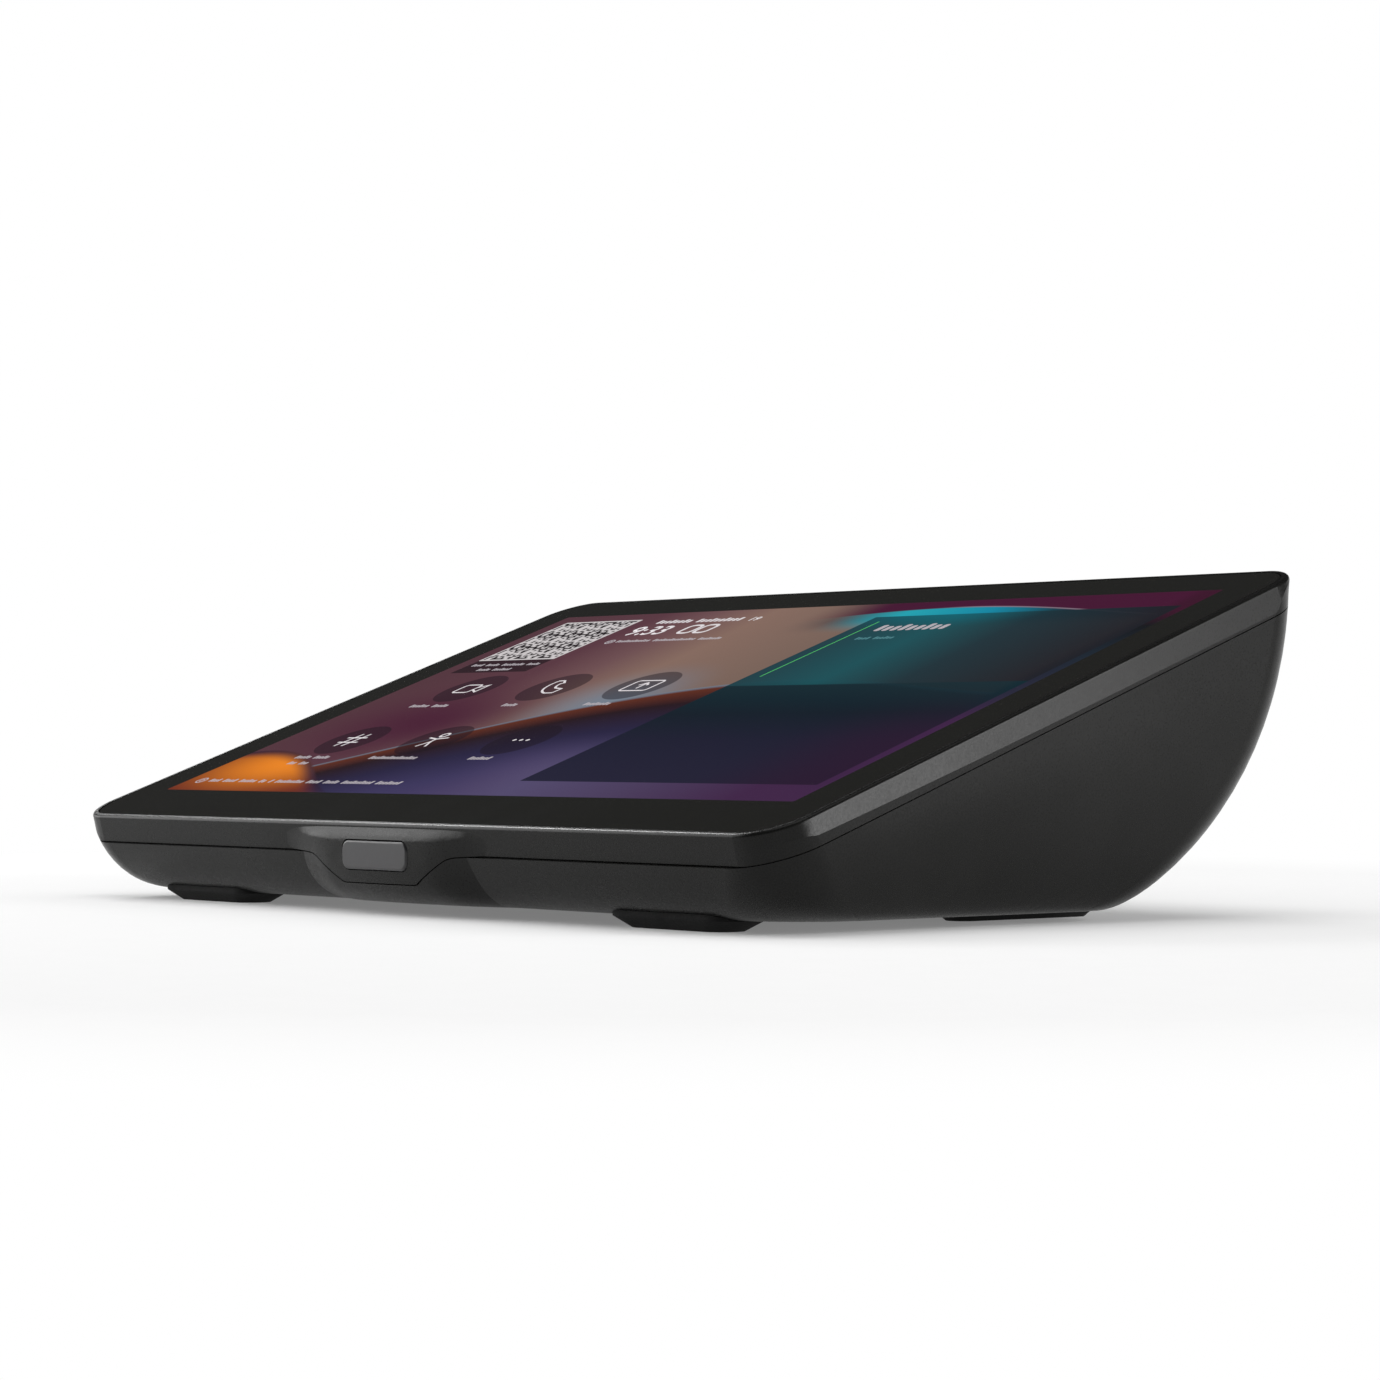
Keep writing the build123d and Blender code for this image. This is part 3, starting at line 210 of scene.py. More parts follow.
class Graph:
    """Node graph of a material, which ends in a Principled shader, or of a world."""

    def __init__(self, owner: Union[bpy.types.Material, bpy.types.World], output: str) -> None:
        """Clears the owner's nodes and adds the output.

        Args:
            owner: Material or world that the graph belongs to.
            output: Type of its output node.
        """
        owner.use_nodes = True
        self.tree = owner.node_tree
        self.tree.nodes.clear()
        self.output = self.add(output)

    @classmethod
    def of_material(cls, name: str) -> "Graph":
        """Makes a material with its shader.

        Args:
            name: Name of the material.

        Returns:
            The graph, with its material and shader.
        """
        material = bpy.data.materials.new(name)
        graph = cls(material, "ShaderNodeOutputMaterial")
        graph.material = material
        graph.shader = graph.add("ShaderNodeBsdfPrincipled")
        graph.link(graph.shader.outputs[0], graph.output.inputs["Surface"])
        return graph

    def finish(self, share: Wire, first: bpy.types.Node, second: bpy.types.Node) -> None:
        """Ends the graph in a mix of two shaders.

        Args:
            share: Share of the second shader.
            first: Node of the first shader.
            second: Node of the second shader.
        """
        mix = self.add("ShaderNodeMixShader", values={0: share, 1: first.outputs[0], 2: second.outputs[0]})
        self.link(mix.outputs[0], self.output.inputs["Surface"])

    def link(self, source: bpy.types.NodeSocket, target: bpy.types.NodeSocket) -> None:
        """Joins two sockets."""
        self.tree.links.new(source, target)

    def feed(self, target: bpy.types.NodeSocket, value: Any) -> None:
        """Links a wire or socket to an input, or writes a plain value on it.

        Args:
            target: The input socket.
            value: A wire, an output socket, or a number or colour.
        """
        if isinstance(value, Wire):
            self.link(value.socket, target)
        elif isinstance(value, bpy.types.NodeSocket):
            self.link(value, target)
        else:
            target.default_value = value

    def add(
        self,
        kind: str,
        settings: Optional[Mapping[str, Any]] = None,
        values: Optional[Mapping[Union[int, str], Any]] = None,
    ) -> bpy.types.Node:
        """Adds a node of any type.

        Args:
            kind: Blender's name of the node type.
            settings: Properties of the node, and "stops" for a colour ramp, set first.
            values: Numbers, colours, sockets or wires for its inputs, by name or place.

        Returns:
            The new node.
        """
        node = self.tree.nodes.new(kind)
        for name, setting in (settings or {}).items():
            if name == "stops":
                self._write_stops(node.color_ramp, setting)
            else:
                setattr(node, name, setting)
        for key, value in (values or {}).items():
            self.feed(node.inputs[key], value)
        return node

    @staticmethod
    def _write_stops(ramp: bpy.types.ColorRamp, stops: Sequence[tuple[float, Colour]]) -> None:
        """Sets a ramp's colours.

        Args:
            ramp: The ramp.
            stops: Place and colour of each stop, in rising order.
        """
        while len(ramp.elements) < len(stops):
            ramp.elements.new(1.0)
        for element, (place, colour) in zip(ramp.elements, stops):
            element.position = place
            element.color = colour

    def place(self) -> bpy.types.NodeSocket:
        """Gives the point's place on the object, in metres."""
        return self.add("ShaderNodeTexCoord").outputs["Object"]

    def axis(self, name: str) -> Wire:
        """Gives one coordinate of the point, "X", "Y" or "Z", in metres."""
        node = self.add("ShaderNodeSeparateXYZ", values={0: self.place()})
        return Wire(self, node.outputs[name])

    def along(self, direction: Vector) -> Wire:
        """Gives the point's distance along a direction, in metres."""
        node = self.add(
            "ShaderNodeVectorMath", {"operation": "DOT_PRODUCT"}, {0: self.place(), 1: direction}
        )
        return Wire(self, node.outputs["Value"])

    def noise(self, size: float, detail: float = 2.0, stretch: Point = (1.0, 1.0)) -> Wire:
        """Adds a cloud pattern.

        Args:
            size: Size of its patches in metres.
            detail: Number of finer layers.
            stretch: How much longer the patches are along X and Y.

        Returns:
            The pattern, about 0.5 on average.
        """
        scale = (1 / stretch[0], 1 / stretch[1], 1.0)
        drawn = self.add("ShaderNodeVectorMath", {"operation": "MULTIPLY"}, {0: self.place(), 1: scale})
        node = self.add(
            "ShaderNodeTexNoise", values={"Vector": drawn.outputs[0], "Scale": 1 / size, "Detail": detail}
        )
        return Wire(self, node.outputs[0])

    def cells(self, size: float) -> Wire:
        """Adds a pattern of rounded cells, by the distance to the nearest cell's middle."""
        node = self.add("ShaderNodeTexVoronoi", values={"Vector": self.place(), "Scale": 1 / size})
        return Wire(self, node.outputs["Distance"])

    def blend(self, factor: Number, first: Any, second: Any) -> bpy.types.NodeSocket:
        """Mixes two colours.

        Args:
            factor: Share of the second colour.
            first: Colour or socket.
            second: Colour or socket.

        Returns:
            The mixed colour.
        """
        return self.add("ShaderNodeMix", {"data_type": "RGBA"}, {0: factor, 6: first, 7: second}).outputs[2]

    def ramp(self, value: Wire, stops: Sequence[tuple[float, Colour]]) -> bpy.types.NodeSocket:
        """Turns a value into a colour by a row of stops."""
        return self.add("ShaderNodeValToRGB", {"stops": stops}, {0: value}).outputs[0]

    def bump(self, height: Wire, depth: float) -> bpy.types.NodeSocket:
        """Makes relief from a height pattern.

        Args:
            height: The pattern, 0 to 1.
            depth: Depth of the relief in metres.

        Returns:
            The normal for the shader.
        """
        node = self.add("ShaderNodeBump", values={"Strength": 1.0, "Distance": depth, "Height": height})
        return node.outputs[0]

    def set(self, **inputs: Any) -> None:
        """Feeds the shader's inputs, named with underscores for spaces."""
        for name, value in inputs.items():
            self.feed(self.shader.inputs[name.replace("_", " ")], value)


@dataclass(frozen=True)
class Finish:
    """What every finish shares: a name, and the material that its own painting fills."""

    name: str

    def make(self) -> bpy.types.Material:
        """Builds the material.

        Returns:
            The painted material.
        """
        graph = Graph.of_material(self.name)
        self.paint(graph)
        return graph.material

    def paint(self, graph: Graph) -> None:
        """Feeds the graph's shader, in each finish's own way."""
        raise NotImplementedError


@dataclass(frozen=True)
class Moulding(Finish):
    """Injection-moulded plastic with an eroded grain and slightly polished high spots."""

    base: str
    worn: str
    roughness: float
    grain: float
    relief: float
    sheen: float = 0.15
    cloud: float = 60.0  # clouds against the grain
    handled: float = 0.045  # patches that hands have polished
    polish: float = 0.035

    def paint(self, graph: Graph) -> None:
        """Feeds the graph's shader.

        Args:
            graph: Graph of the material.
        """
        grain = graph.noise(self.grain, 3.0)
        cloud = graph.noise(self.cloud * self.grain, 4.0)
        handled = graph.noise(self.handled, 3.0).fade(0.45, 0.75)
        body = graph.blend(cloud.fade(0.3, 0.7), tone(self.base), tone(self.worn))
        lit = graph.blend(grain.fade(0.35, 0.75, 0.0, 0.35), body, tone(self.worn))
        roughness = grain.fade(0.2, 0.8, self.roughness + 0.05, self.roughness - 0.05)
        graph.set(
            Base_Color=lit,
            Roughness=roughness - handled * self.polish,
            Normal=graph.bump(grain, self.relief),
            Specular_IOR_Level=self.sheen,
        )


@dataclass(frozen=True)
class Rubber(Finish):
    """Matt moulded rubber with fine pits and a little dust."""

    base: str
    dust: str
    pit: float
    pit_depth: float = 0.00006
    dust_size: float = 0.006
    roughness: float = 0.72

    def paint(self, graph: Graph) -> None:
        """Feeds the graph's shader.

        Args:
            graph: Graph of the material.
        """
        pits = graph.cells(self.pit)
        dust = graph.noise(self.dust_size, 5.0).fade(0.5, 0.8, 0.0, 0.5)
        graph.set(
            Base_Color=graph.blend(dust, tone(self.base), tone(self.dust)),
            Roughness=self.roughness + 0.2 * dust,
            Normal=graph.bump(pits, self.pit_depth),
            Specular_IOR_Level=0.25,
        )


@dataclass(frozen=True)
class Metal(Finish):
    """Rolled, plated or drawn metal with fine lines along one axis."""

    base: str
    dark: str
    roughness: float
    line: float
    stretch: Point = (30.0, 1.0)
    line_depth: float = 0.00002
    stain_size: float = 0.012

    def paint(self, graph: Graph) -> None:
        """Feeds the graph's shader.

        Args:
            graph: Graph of the material.
        """
        lines = graph.noise(self.line, 2.0, self.stretch)
        stain = graph.noise(self.stain_size, 4.0).fade(0.5, 0.85)
        colour = graph.blend(lines.fade(0.3, 0.7, 0.0, 0.5), tone(self.base), tone(self.dark))
        graph.set(
            Base_Color=graph.blend(stain * 0.4, colour, tone(self.dark)),
            Metallic=1.0,
            Roughness=lines.fade(0.3, 0.7, self.roughness - 0.06, self.roughness + 0.08) + stain * 0.1,
            Normal=graph.bump(lines, self.line_depth),
        )


@dataclass(frozen=True)
class SolderMask(Finish):
    """Green lacquered board with a net of copper tracks under the lacquer and pale pads."""

    lacquer: str
    track: str
    pad: str
    pitch: float
    copper: float = 0.00003  # height of tracks and pads
    patch: float = 0.012  # size of the areas with tracks

    def paint(self, graph: Graph) -> None:
        """Feeds the graph's shader.

        Args:
            graph: Graph of the material.
        """
        bent = graph.noise(0.02, 0.0) * 3.0
        across = abs((graph.axis("X") / self.pitch + bent).fraction() - 0.5)
        deep = abs((graph.axis("Y") / self.pitch - bent).fraction() - 0.5)
        net = across.fade(0.32, 0.4).at_least(deep.fade(0.36, 0.42))
        tracks = net * graph.noise(self.patch, 1.0).fade(0.42, 0.5)
        pads = graph.cells(3 * self.pitch).fade(0.16, 0.12)
        board = graph.blend(tracks, tone(self.lacquer), tone(self.track))
        graph.set(
            Base_Color=graph.blend(pads, board, tone(self.pad)),
            Metallic=0.8 * pads,
            Roughness=0.36 - 0.08 * tracks,
            Normal=graph.bump(tracks + pads, self.copper),
        )


@dataclass(frozen=True)
class RibbonFilm(Finish):
    """Amber flex with rows of copper tracks along its length."""

    film: str
    copper: str
    pitch: float
    mottle: float = 0.004
    relief: float = 0.00002

    def paint(self, graph: Graph) -> None:
        """Feeds the graph's shader.

        Args:
            graph: Graph of the material.
        """
        rows = abs((graph.axis("X") / self.pitch).fraction() - 0.5).fade(0.2, 0.28)
        mottle = graph.noise(self.mottle, 3.0)
        graph.set(
            Base_Color=graph.blend(rows * 0.8, tone(self.film), tone(self.copper)),
            Roughness=mottle.fade(0.3, 0.7, 0.25, 0.4),
            Normal=graph.bump(rows, self.relief),
        )


class Wall(Enum):
    """Where a picture is shown."""

    GLASS = "glass"
    PANEL = "panel"


@dataclass(frozen=True)
class Plot:
    """Rounded rectangle on the picture, in millimetres from its front left corner."""

    left: float
    front: float
    width: float
    length: float
    corner: float

    @property
    def middle(self) -> Point:
        """Gives the rectangle's middle."""
        return self.left + self.width / 2, self.front + self.length / 2


@dataclass
class Slope:
    """Frame of the display: millimetres across and up the slope from the picture's front left corner."""

    side_margin: float = 5.0
    front_margin: float = 6.0
    back_margin: float = 5.0

    def __post_init__(self) -> None:
        """Reads the slope and the picture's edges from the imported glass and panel."""
        glass = frame["nodes"]["cover_glass"].data
        faces = [face for face in glass.polygons if face.normal.z > 0.5]
        widest = max(faces, key=lambda face: face.area)
        self.normal = Vector((0, widest.normal.y, widest.normal.z)).normalized()
        self.up = Vector((0, self.normal.z, -self.normal.y))
        self.height = max(vertex.co.dot(self.normal) for vertex in glass.vertices)
        panel = frame["nodes"]["lcd_panel"].data.vertices
        rises = [vertex.co.dot(self.up) for vertex in panel]
        sides = [vertex.co.x for vertex in panel]
        self.left = min(sides) + self.side_margin * MM
        self.front = min(rises) + self.front_margin * MM
        self.width = (max(sides) - min(sides)) / MM - 2 * self.side_margin
        self.length = (max(rises) - min(rises)) / MM - self.front_margin - self.back_margin

    def matrix(self, lift: float) -> Matrix:
        """Gives the change from picture millimetres to the model's frame.

        Args:
            lift: Height above the glass in metres.

        Returns:
            A matrix for mesh points.
        """
        across = Vector((1, 0, 0))
        corner = across * self.left + self.up * self.front + self.normal * (self.height + lift)
        turn = Matrix((across, self.up, self.normal)).transposed().to_4x4()
        return Matrix.Translation(corner) @ turn @ Matrix.Scale(MM, 4)


@dataclass(frozen=True)
class Canvas:
    """Any point of the lit picture, by its millimetres across the picture and up it."""

    graph: Graph
    across: Wire
    rise: Wire
    edge: float = 0.1  # half of a display dot, which blurs an outline

    def mask(self, plot: Plot) -> Wire:
        """Fills a rounded rectangle.

        Args:
            plot: The rectangle.

        Returns:
            1 inside it and 0 outside.
        """
        x, y = plot.middle
        half_width, half_length = plot.width / 2 - plot.corner, plot.length / 2 - plot.corner
        outside = beyond(self.across - x, self.rise - y, half_width, half_length)
        return outside.fade(plot.corner + self.edge, plot.corner - self.edge)

    def glow(self, spot: Point, reach: Point) -> Wire:
        """Gives a soft oval of light.

        Args:
            spot: The oval's middle.
            reach: Its half-width and half-height.

        Returns:
            1 in the middle, and 0 from the reach on.
        """
        wide = (self.across - spot[0]) / reach[0]
        tall = (self.rise - spot[1]) / reach[1]
        return (wide * wide + tall * tall).root().fade(1.0, 0.0)

    def shades(self, value: Wire, *stops: tuple[float, str]) -> bpy.types.NodeSocket:
        """Gives a colour that changes along a distance.

        Args:
            value: The distance in millimetres.
            stops: Distance and colour code of each stop, in rising order.

        Returns:
            The colour.
        """
        first, last = stops[0][0], stops[-1][0]
        places = [((place - first) / (last - first), tone(code)) for place, code in stops]
        return self.graph.ramp((value - first) / (last - first), places)


@dataclass(frozen=True)
class Picture(Finish):
    """Lit picture of the display: soft hills of colour, button discs and a shaded side pane."""

    wall: Wall
    slope: Slope
    discs: tuple[Point, ...]
    disc_radius: float
    pane: Plot
    pane_split: float
    label: Plot
    ink: str = "#242422"  # border round the picture
    smear: str = "#232323"
    black: str = "#060607"  # what the picture's colour is laid on
    disc_tint: str = "#1a0f1c"
    disc_shade: float = 0.62
    label_tint: str = "#120b12"
    label_shade: float = 0.75
    smear_size: float = 0.03
    wave_size: float = 0.0015
    wave_depth: float = 0.000002

    def _hills(self, canvas: Canvas) -> bpy.types.NodeSocket:
        """Builds the background: two rolling hills under a dusk sky, in soft colour.

        Args:
            canvas: Any point of the picture.

        Returns:
            The colour.
        """
        blend, across, rise = canvas.graph.blend, canvas.across, canvas.rise
        drift = canvas.graph.noise(0.09, 1.0) * 26 - 13
        sky = canvas.shades(
            across + drift,
            (0, "#52333c"),
            (36, "#583640"),
            (58, "#6c4d50"),
            (84, "#84695e"),
            (124, "#786258"),
        )
        mauve = blend(canvas.glow((42, 46), (52, 36)), sky, tone("#481d33"))
        mist = blend(canvas.glow((96, 58), (30, 30)) * 0.8, mauve, tone("#6f8294"))
        crest = (across * 0.021 - 0.9).wave() * 24 + across * 0.30 + 8
        depth = crest - rise
        far = canvas.shades(
            depth,
            (0, "#6d7c8c"),
            (2, "#5c2a1c"),
            (12, "#24121a"),
            (28, "#25203e"),
            (50, "#3a345a"),
            (80, "#4c4068"),
        )
        hill = blend(depth.fade(-0.5, 0.5), mist, far)
        knoll = (across * 0.045 + 1.1).wave() * 13 + 14 - across * 0.05
        near = blend(canvas.glow((26, 18), (44, 24)), tone("#6e2c1c"), tone("#e88420"))
        rim = (knoll - rise).fade(6, 0.2) * 0.9
        glowing = blend(rim, near, tone("#181430"))
        return blend((knoll - rise).fade(-0.6, 0.6) * across.fade(78, 48), hill, glowing)

    def _margin(self, canvas: Canvas, under: bpy.types.NodeSocket) -> bpy.types.NodeSocket:
        """Colours what shows round the pane: a lit swell behind it, dusk beside and before it.

        Args:
            canvas: Any point of the picture.
            under: Colour of the background.

        Returns:
            The colour.
        """
        blend, across, rise = canvas.graph.blend, canvas.across, canvas.rise
        beside = canvas.shades(
            rise,
            (0, "#3c2144"),
            (44, "#3d2045"),
            (60, "#262539"),
            (84, "#192430"),
            (102, "#101318"),
            (112, "#3a0f28"),
        )
        before = canvas.shades(
            across, (96, "#483c60"), (130, "#51486b"), (166, "#493b5b"), (204, "#3f2346")
        )
        swell = canvas.shades(
            across,
            (112, "#3c3b42"),
            (134, "#1fa0ae"),
            (162, "#0c84a0"),
            (182, "#12404e"),
            (196, "#2c1026"),
        )
        curve = ((across - 96) * (pi / 104)).wave() * 7 + 113.4
        behind = blend((curve - rise).fade(-0.3, 0.8), tone("#431030"), swell)
        crest = abs(curve - rise).fade(0.6, 0.0) * across.fade(140, 156) * 0.5
        behind = blend(crest, behind, tone("#a99aa8"))
        left, front = self.pane.left, self.pane.front
        framed = blend(across.fade(left - 34, left) * rise.fade(40, 12), under, before)
        high = rise.fade(104, 114) * across.fade(left - 28, left - 2)
        framed = blend(high, framed, behind)
        right = across.fade(left + self.pane.width - 6, left + self.pane.width)
        return blend(right * rise.fade(front - 6, front + 4), framed, beside)

    def _pane(self, canvas: Canvas, under: bpy.types.NodeSocket) -> bpy.types.NodeSocket:
        """Lays the shaded pane over the background, teal behind and navy in front.

        Args:
            canvas: Any point of the picture.
            under: Colour of what lies under it.

        Returns:
            The colour.
        """
        blend, across, rise = canvas.graph.blend, canvas.across, canvas.rise
        left = self.pane.left
        teal = canvas.shades(
            across,
            (left, "#133c45"),
            (left + 28, "#0e4e56"),
            (left + 54, "#142f38"),
            (left + 90, "#1a1c24"),
        )
        teal = blend(canvas.glow((left + 22, 118), (40, 14)) * 0.6, teal, tone("#0a6a78"))
        deep = canvas.shades(rise, (8, "#1e1d32"), (34, "#191a2e"), (50, "#0c1a26"), (68, "#052730"))
        dusk = (across - left).fade(50, 92) * rise.fade(64, 30)
        deep = blend(dusk * 0.8, deep, tone("#28132c"))
        shade = blend((rise - self.pane_split).fade(0.3, -0.3), teal, deep)
        return blend(canvas.mask(self.pane) * 0.97, under, shade)

    def paint(self, graph: Graph) -> None:
        """Feeds the graph's shader.

        Args:
            graph: Graph of the material.
        """
        across = (graph.axis("X") - self.slope.left) / MM
        rise = (graph.along(self.slope.up) - self.slope.front) / MM
        canvas = Canvas(graph, across, rise)
        shown = canvas.mask(Plot(0.0, 0.0, self.slope.width, self.slope.length, 0.6))
        colour = self._pane(canvas, self._margin(canvas, self._hills(canvas)))
        for spot in self.discs:
            reach = self.disc_radius
            disc = Plot(spot[0] - reach, spot[1] - reach, 2 * reach, 2 * reach, reach)
            shade = canvas.mask(disc) * self.disc_shade
            colour = graph.blend(shade, colour, tone(self.disc_tint))
        label = canvas.mask(self.label) * self.label_shade
        colour = graph.blend(label, colour, tone(self.label_tint))
        smears = graph.noise(self.smear_size, 4.0, (1.0, 2.5)).fade(0.45, 0.8)
        border = graph.blend(smears * 0.3, tone(self.ink), tone(self.smear))
        glass = self.wall is Wall.GLASS
        roughness, gloss, strength = (0.07, 0.05, 1.0) if glass else (0.5, 0.3, 0.0)
        graph.set(
            Base_Color=graph.blend(shown, border, tone(self.black)),
            Roughness=roughness + 0.05 * smears,
            Specular_IOR_Level=gloss,
            Emission_Color=graph.blend(shown, (0.0, 0.0, 0.0, 1.0), colour),
            Emission_Strength=strength,
            Normal=graph.bump(graph.noise(self.wave_size, 1.0), self.wave_depth),
        )


@dataclass(frozen=True)
class LitSymbol(Finish):
    """Lit dots of the display, with their fine grid."""

    colour: str
    dim: str
    dot: float = 0.00018
    gap: str = "#0b0b0c"
    unlit: str = "#101012"

    def paint(self, graph: Graph) -> None:
        """Feeds the graph's shader.

        Args:
            graph: Graph of the material.
        """
        rows = abs((graph.axis("X") / self.dot).fraction() - 0.5).fade(0.5, 0.3)
        colour = graph.blend(rows, tone(self.dim), tone(self.colour))
        graph.set(
            Base_Color=graph.blend(rows, tone(self.gap), tone(self.unlit)),
            Roughness=0.1 + 0.05 * rows,
            Specular_IOR_Level=0.12,
            Emission_Color=colour,
            Emission_Strength=1.0,
        )


@dataclass(frozen=True)
class Lens(Finish):
    """Milky smoked lens, with painted shade that darkens it towards its rim."""

    face: str
    # colour of the painted shade at the lens's rim
    rim: str
    half_width: float = 0.0118
    half_height: float = 0.0031
    haze: float = 0.002
    grain: float = 0.0002
    relief: float = 0.000004

    def paint(self, graph: Graph) -> None:
        """Feeds the graph's shader.

        Args:
            graph: Graph of the material.
        """
        low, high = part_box("sensor_window")
        middle = (low + high) / 2
        wide = (graph.axis("X") - middle.x) / self.half_width
        tall = (graph.axis("Z") - middle.z) / self.half_height
        # painted shade: the lens's colour darkens smoothly towards its rim
        edge = (wide**4.0 + tall**4.0).fade(0.45, 1.15)
        haze = graph.noise(self.haze, 3.0)
        graph.set(
            Base_Color=graph.blend(edge * 0.8, tone(self.face), tone(self.rim)),
            Roughness=haze.fade(0.3, 0.7, 0.3, 0.42),
            Coat_Weight=0.15,
            Normal=graph.bump(graph.noise(self.grain, 1.0), self.relief),
        )


@dataclass(frozen=True)
class Film(Finish):
    """Thin sheet with a fine diamond net of electrodes."""

    base: str
    net: str
    pitch: float
    roughness: float
    blotch: float = 0.01
    relief: float = 0.00001

    def paint(self, graph: Graph) -> None:
        """Feeds the graph's shader.

        Args:
            graph: Graph of the material.
        """
        rise = abs(((graph.axis("X") + graph.axis("Y")) / self.pitch).fraction() - 0.5)
        fall = abs(((graph.axis("X") - graph.axis("Y")) / self.pitch).fraction() - 0.5)
        net = rise.at_least(fall).fade(0.46, 0.49)
        blotch = graph.noise(self.blotch, 2.0)
        graph.set(
            Base_Color=graph.blend(net, tone(self.base), tone(self.net)),
            Roughness=blotch.fade(0.3, 0.7, self.roughness - 0.05, self.roughness + 0.05),
            Normal=graph.bump(net, self.relief),
        )


@dataclass(frozen=True)
class Lacquer(Finish):
    """Smooth resin, sleeve or sealing skin with faint clouds and fine scratches."""

    base: str
    cloud: str
    roughness: float
    scratch: float = 0.00035
    mottle: float = 0.004
    relief: float = 0.000008

    def paint(self, graph: Graph) -> None:
        """Feeds the graph's shader.

        Args:
            graph: Graph of the material.
        """
        clouds = graph.noise(self.mottle, 4.0)
        scratches = graph.noise(self.scratch, 2.0, (12.0, 1.0))
        graph.set(
            Base_Color=graph.blend(clouds.fade(0.35, 0.7), tone(self.base), tone(self.cloud)),
            Roughness=scratches.fade(0.3, 0.7, self.roughness - 0.05, self.roughness + 0.07),
            Normal=graph.bump(scratches, self.relief),
        )


@dataclass
class Console:
    """Sub-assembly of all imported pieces, dressed by their record slots."""

    grain: float = 0.0004
    relief: float = 0.000006

    def finishes(self, glass: Picture, panel: Picture) -> dict[str, Finish]:
        """Lists one finish for every slot of the record.

        Args:
            glass: Finish of the cover glass.
            panel: Finish of the panel under it.

        Returns:
            Finishes by slot name.
        """
        return {
            "housing_plastic": Moulding("housing", "#111110", "#171716", 0.3, self.grain, self.relief),
            "cover_glass": glass,
            "adhesive_tape": Lacquer("tape", "#101011", "#1a1a1b", 0.6),
            "touch_film": Film("touch_film", "#1b1c20", "#3a3d44", 0.004, 0.2),
            "display_picture": panel,
            "tray_metal": Metal("tray", "#b9babd", "#8b8d90", 0.34, 0.0004),
            "sheet_steel": Metal("steel_sheet", "#a9abae", "#77797d", 0.4, 0.0005),
            "screw_steel": Metal("screw", "#8d8e92", "#5a5b5e", 0.3, 0.0002, (1.0, 1.0)),
            "circuit_board": SolderMask("board", "#0d3b22", "#17552f", "#b99a55", 0.0016),
            "ribbon_film": RibbonFilm("ribbon", "#7a3f10", "#a8642a", 0.001),
            "chip_resin": Lacquer("chip", "#17171a", "#202024", 0.5),
            "thermal_rubber": Rubber("thermal_pad", "#7c8a97", "#98a4ae", 0.0005),
            "spreader_aluminium": Metal("spreader", "#c3c5c9", "#96999e", 0.36, 0.0003),
            "capacitor_sleeve": Lacquer("capacitor", "#6f7178", "#878a92", 0.3),
            "connector_plastic": Moulding("connector", "#131314", "#1d1d1e", 0.45, 0.0003, 0.000012),
            "contact_brass": Metal("contact", "#d9a441", "#9c6c1f", 0.22, 0.0002),
            "button_plastic": Moulding("button", "#2b2b2c", "#38383a", 0.5, 0.0003, 0.00001),
            "sensor_lens": Lens("lens", "#272629", "#18171a"),
            "can_steel": Metal("can", "#a4a6a8", "#7c7e81", 0.28, 0.0002),
            "foot_rubber": Rubber("foot", "#0c0c0c", "#161515", 0.0006),
        }

    def dress(self, finishes: Mapping[str, Finish]) -> None:
        """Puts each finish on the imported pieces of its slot.

        Args:
            finishes: Finishes by slot name.
        """
        made = {slot: finish.make() for slot, finish in finishes.items()}
        slots = {part["node"]: part["material_slot"] for part in frame["record"]["subparts"]}
        for name, piece in frame["nodes"].items():
            material = made[slots[name]]
            for place in piece.material_slots:
                place.material = material
            log.info("%s dressed as %s", name, material.name)


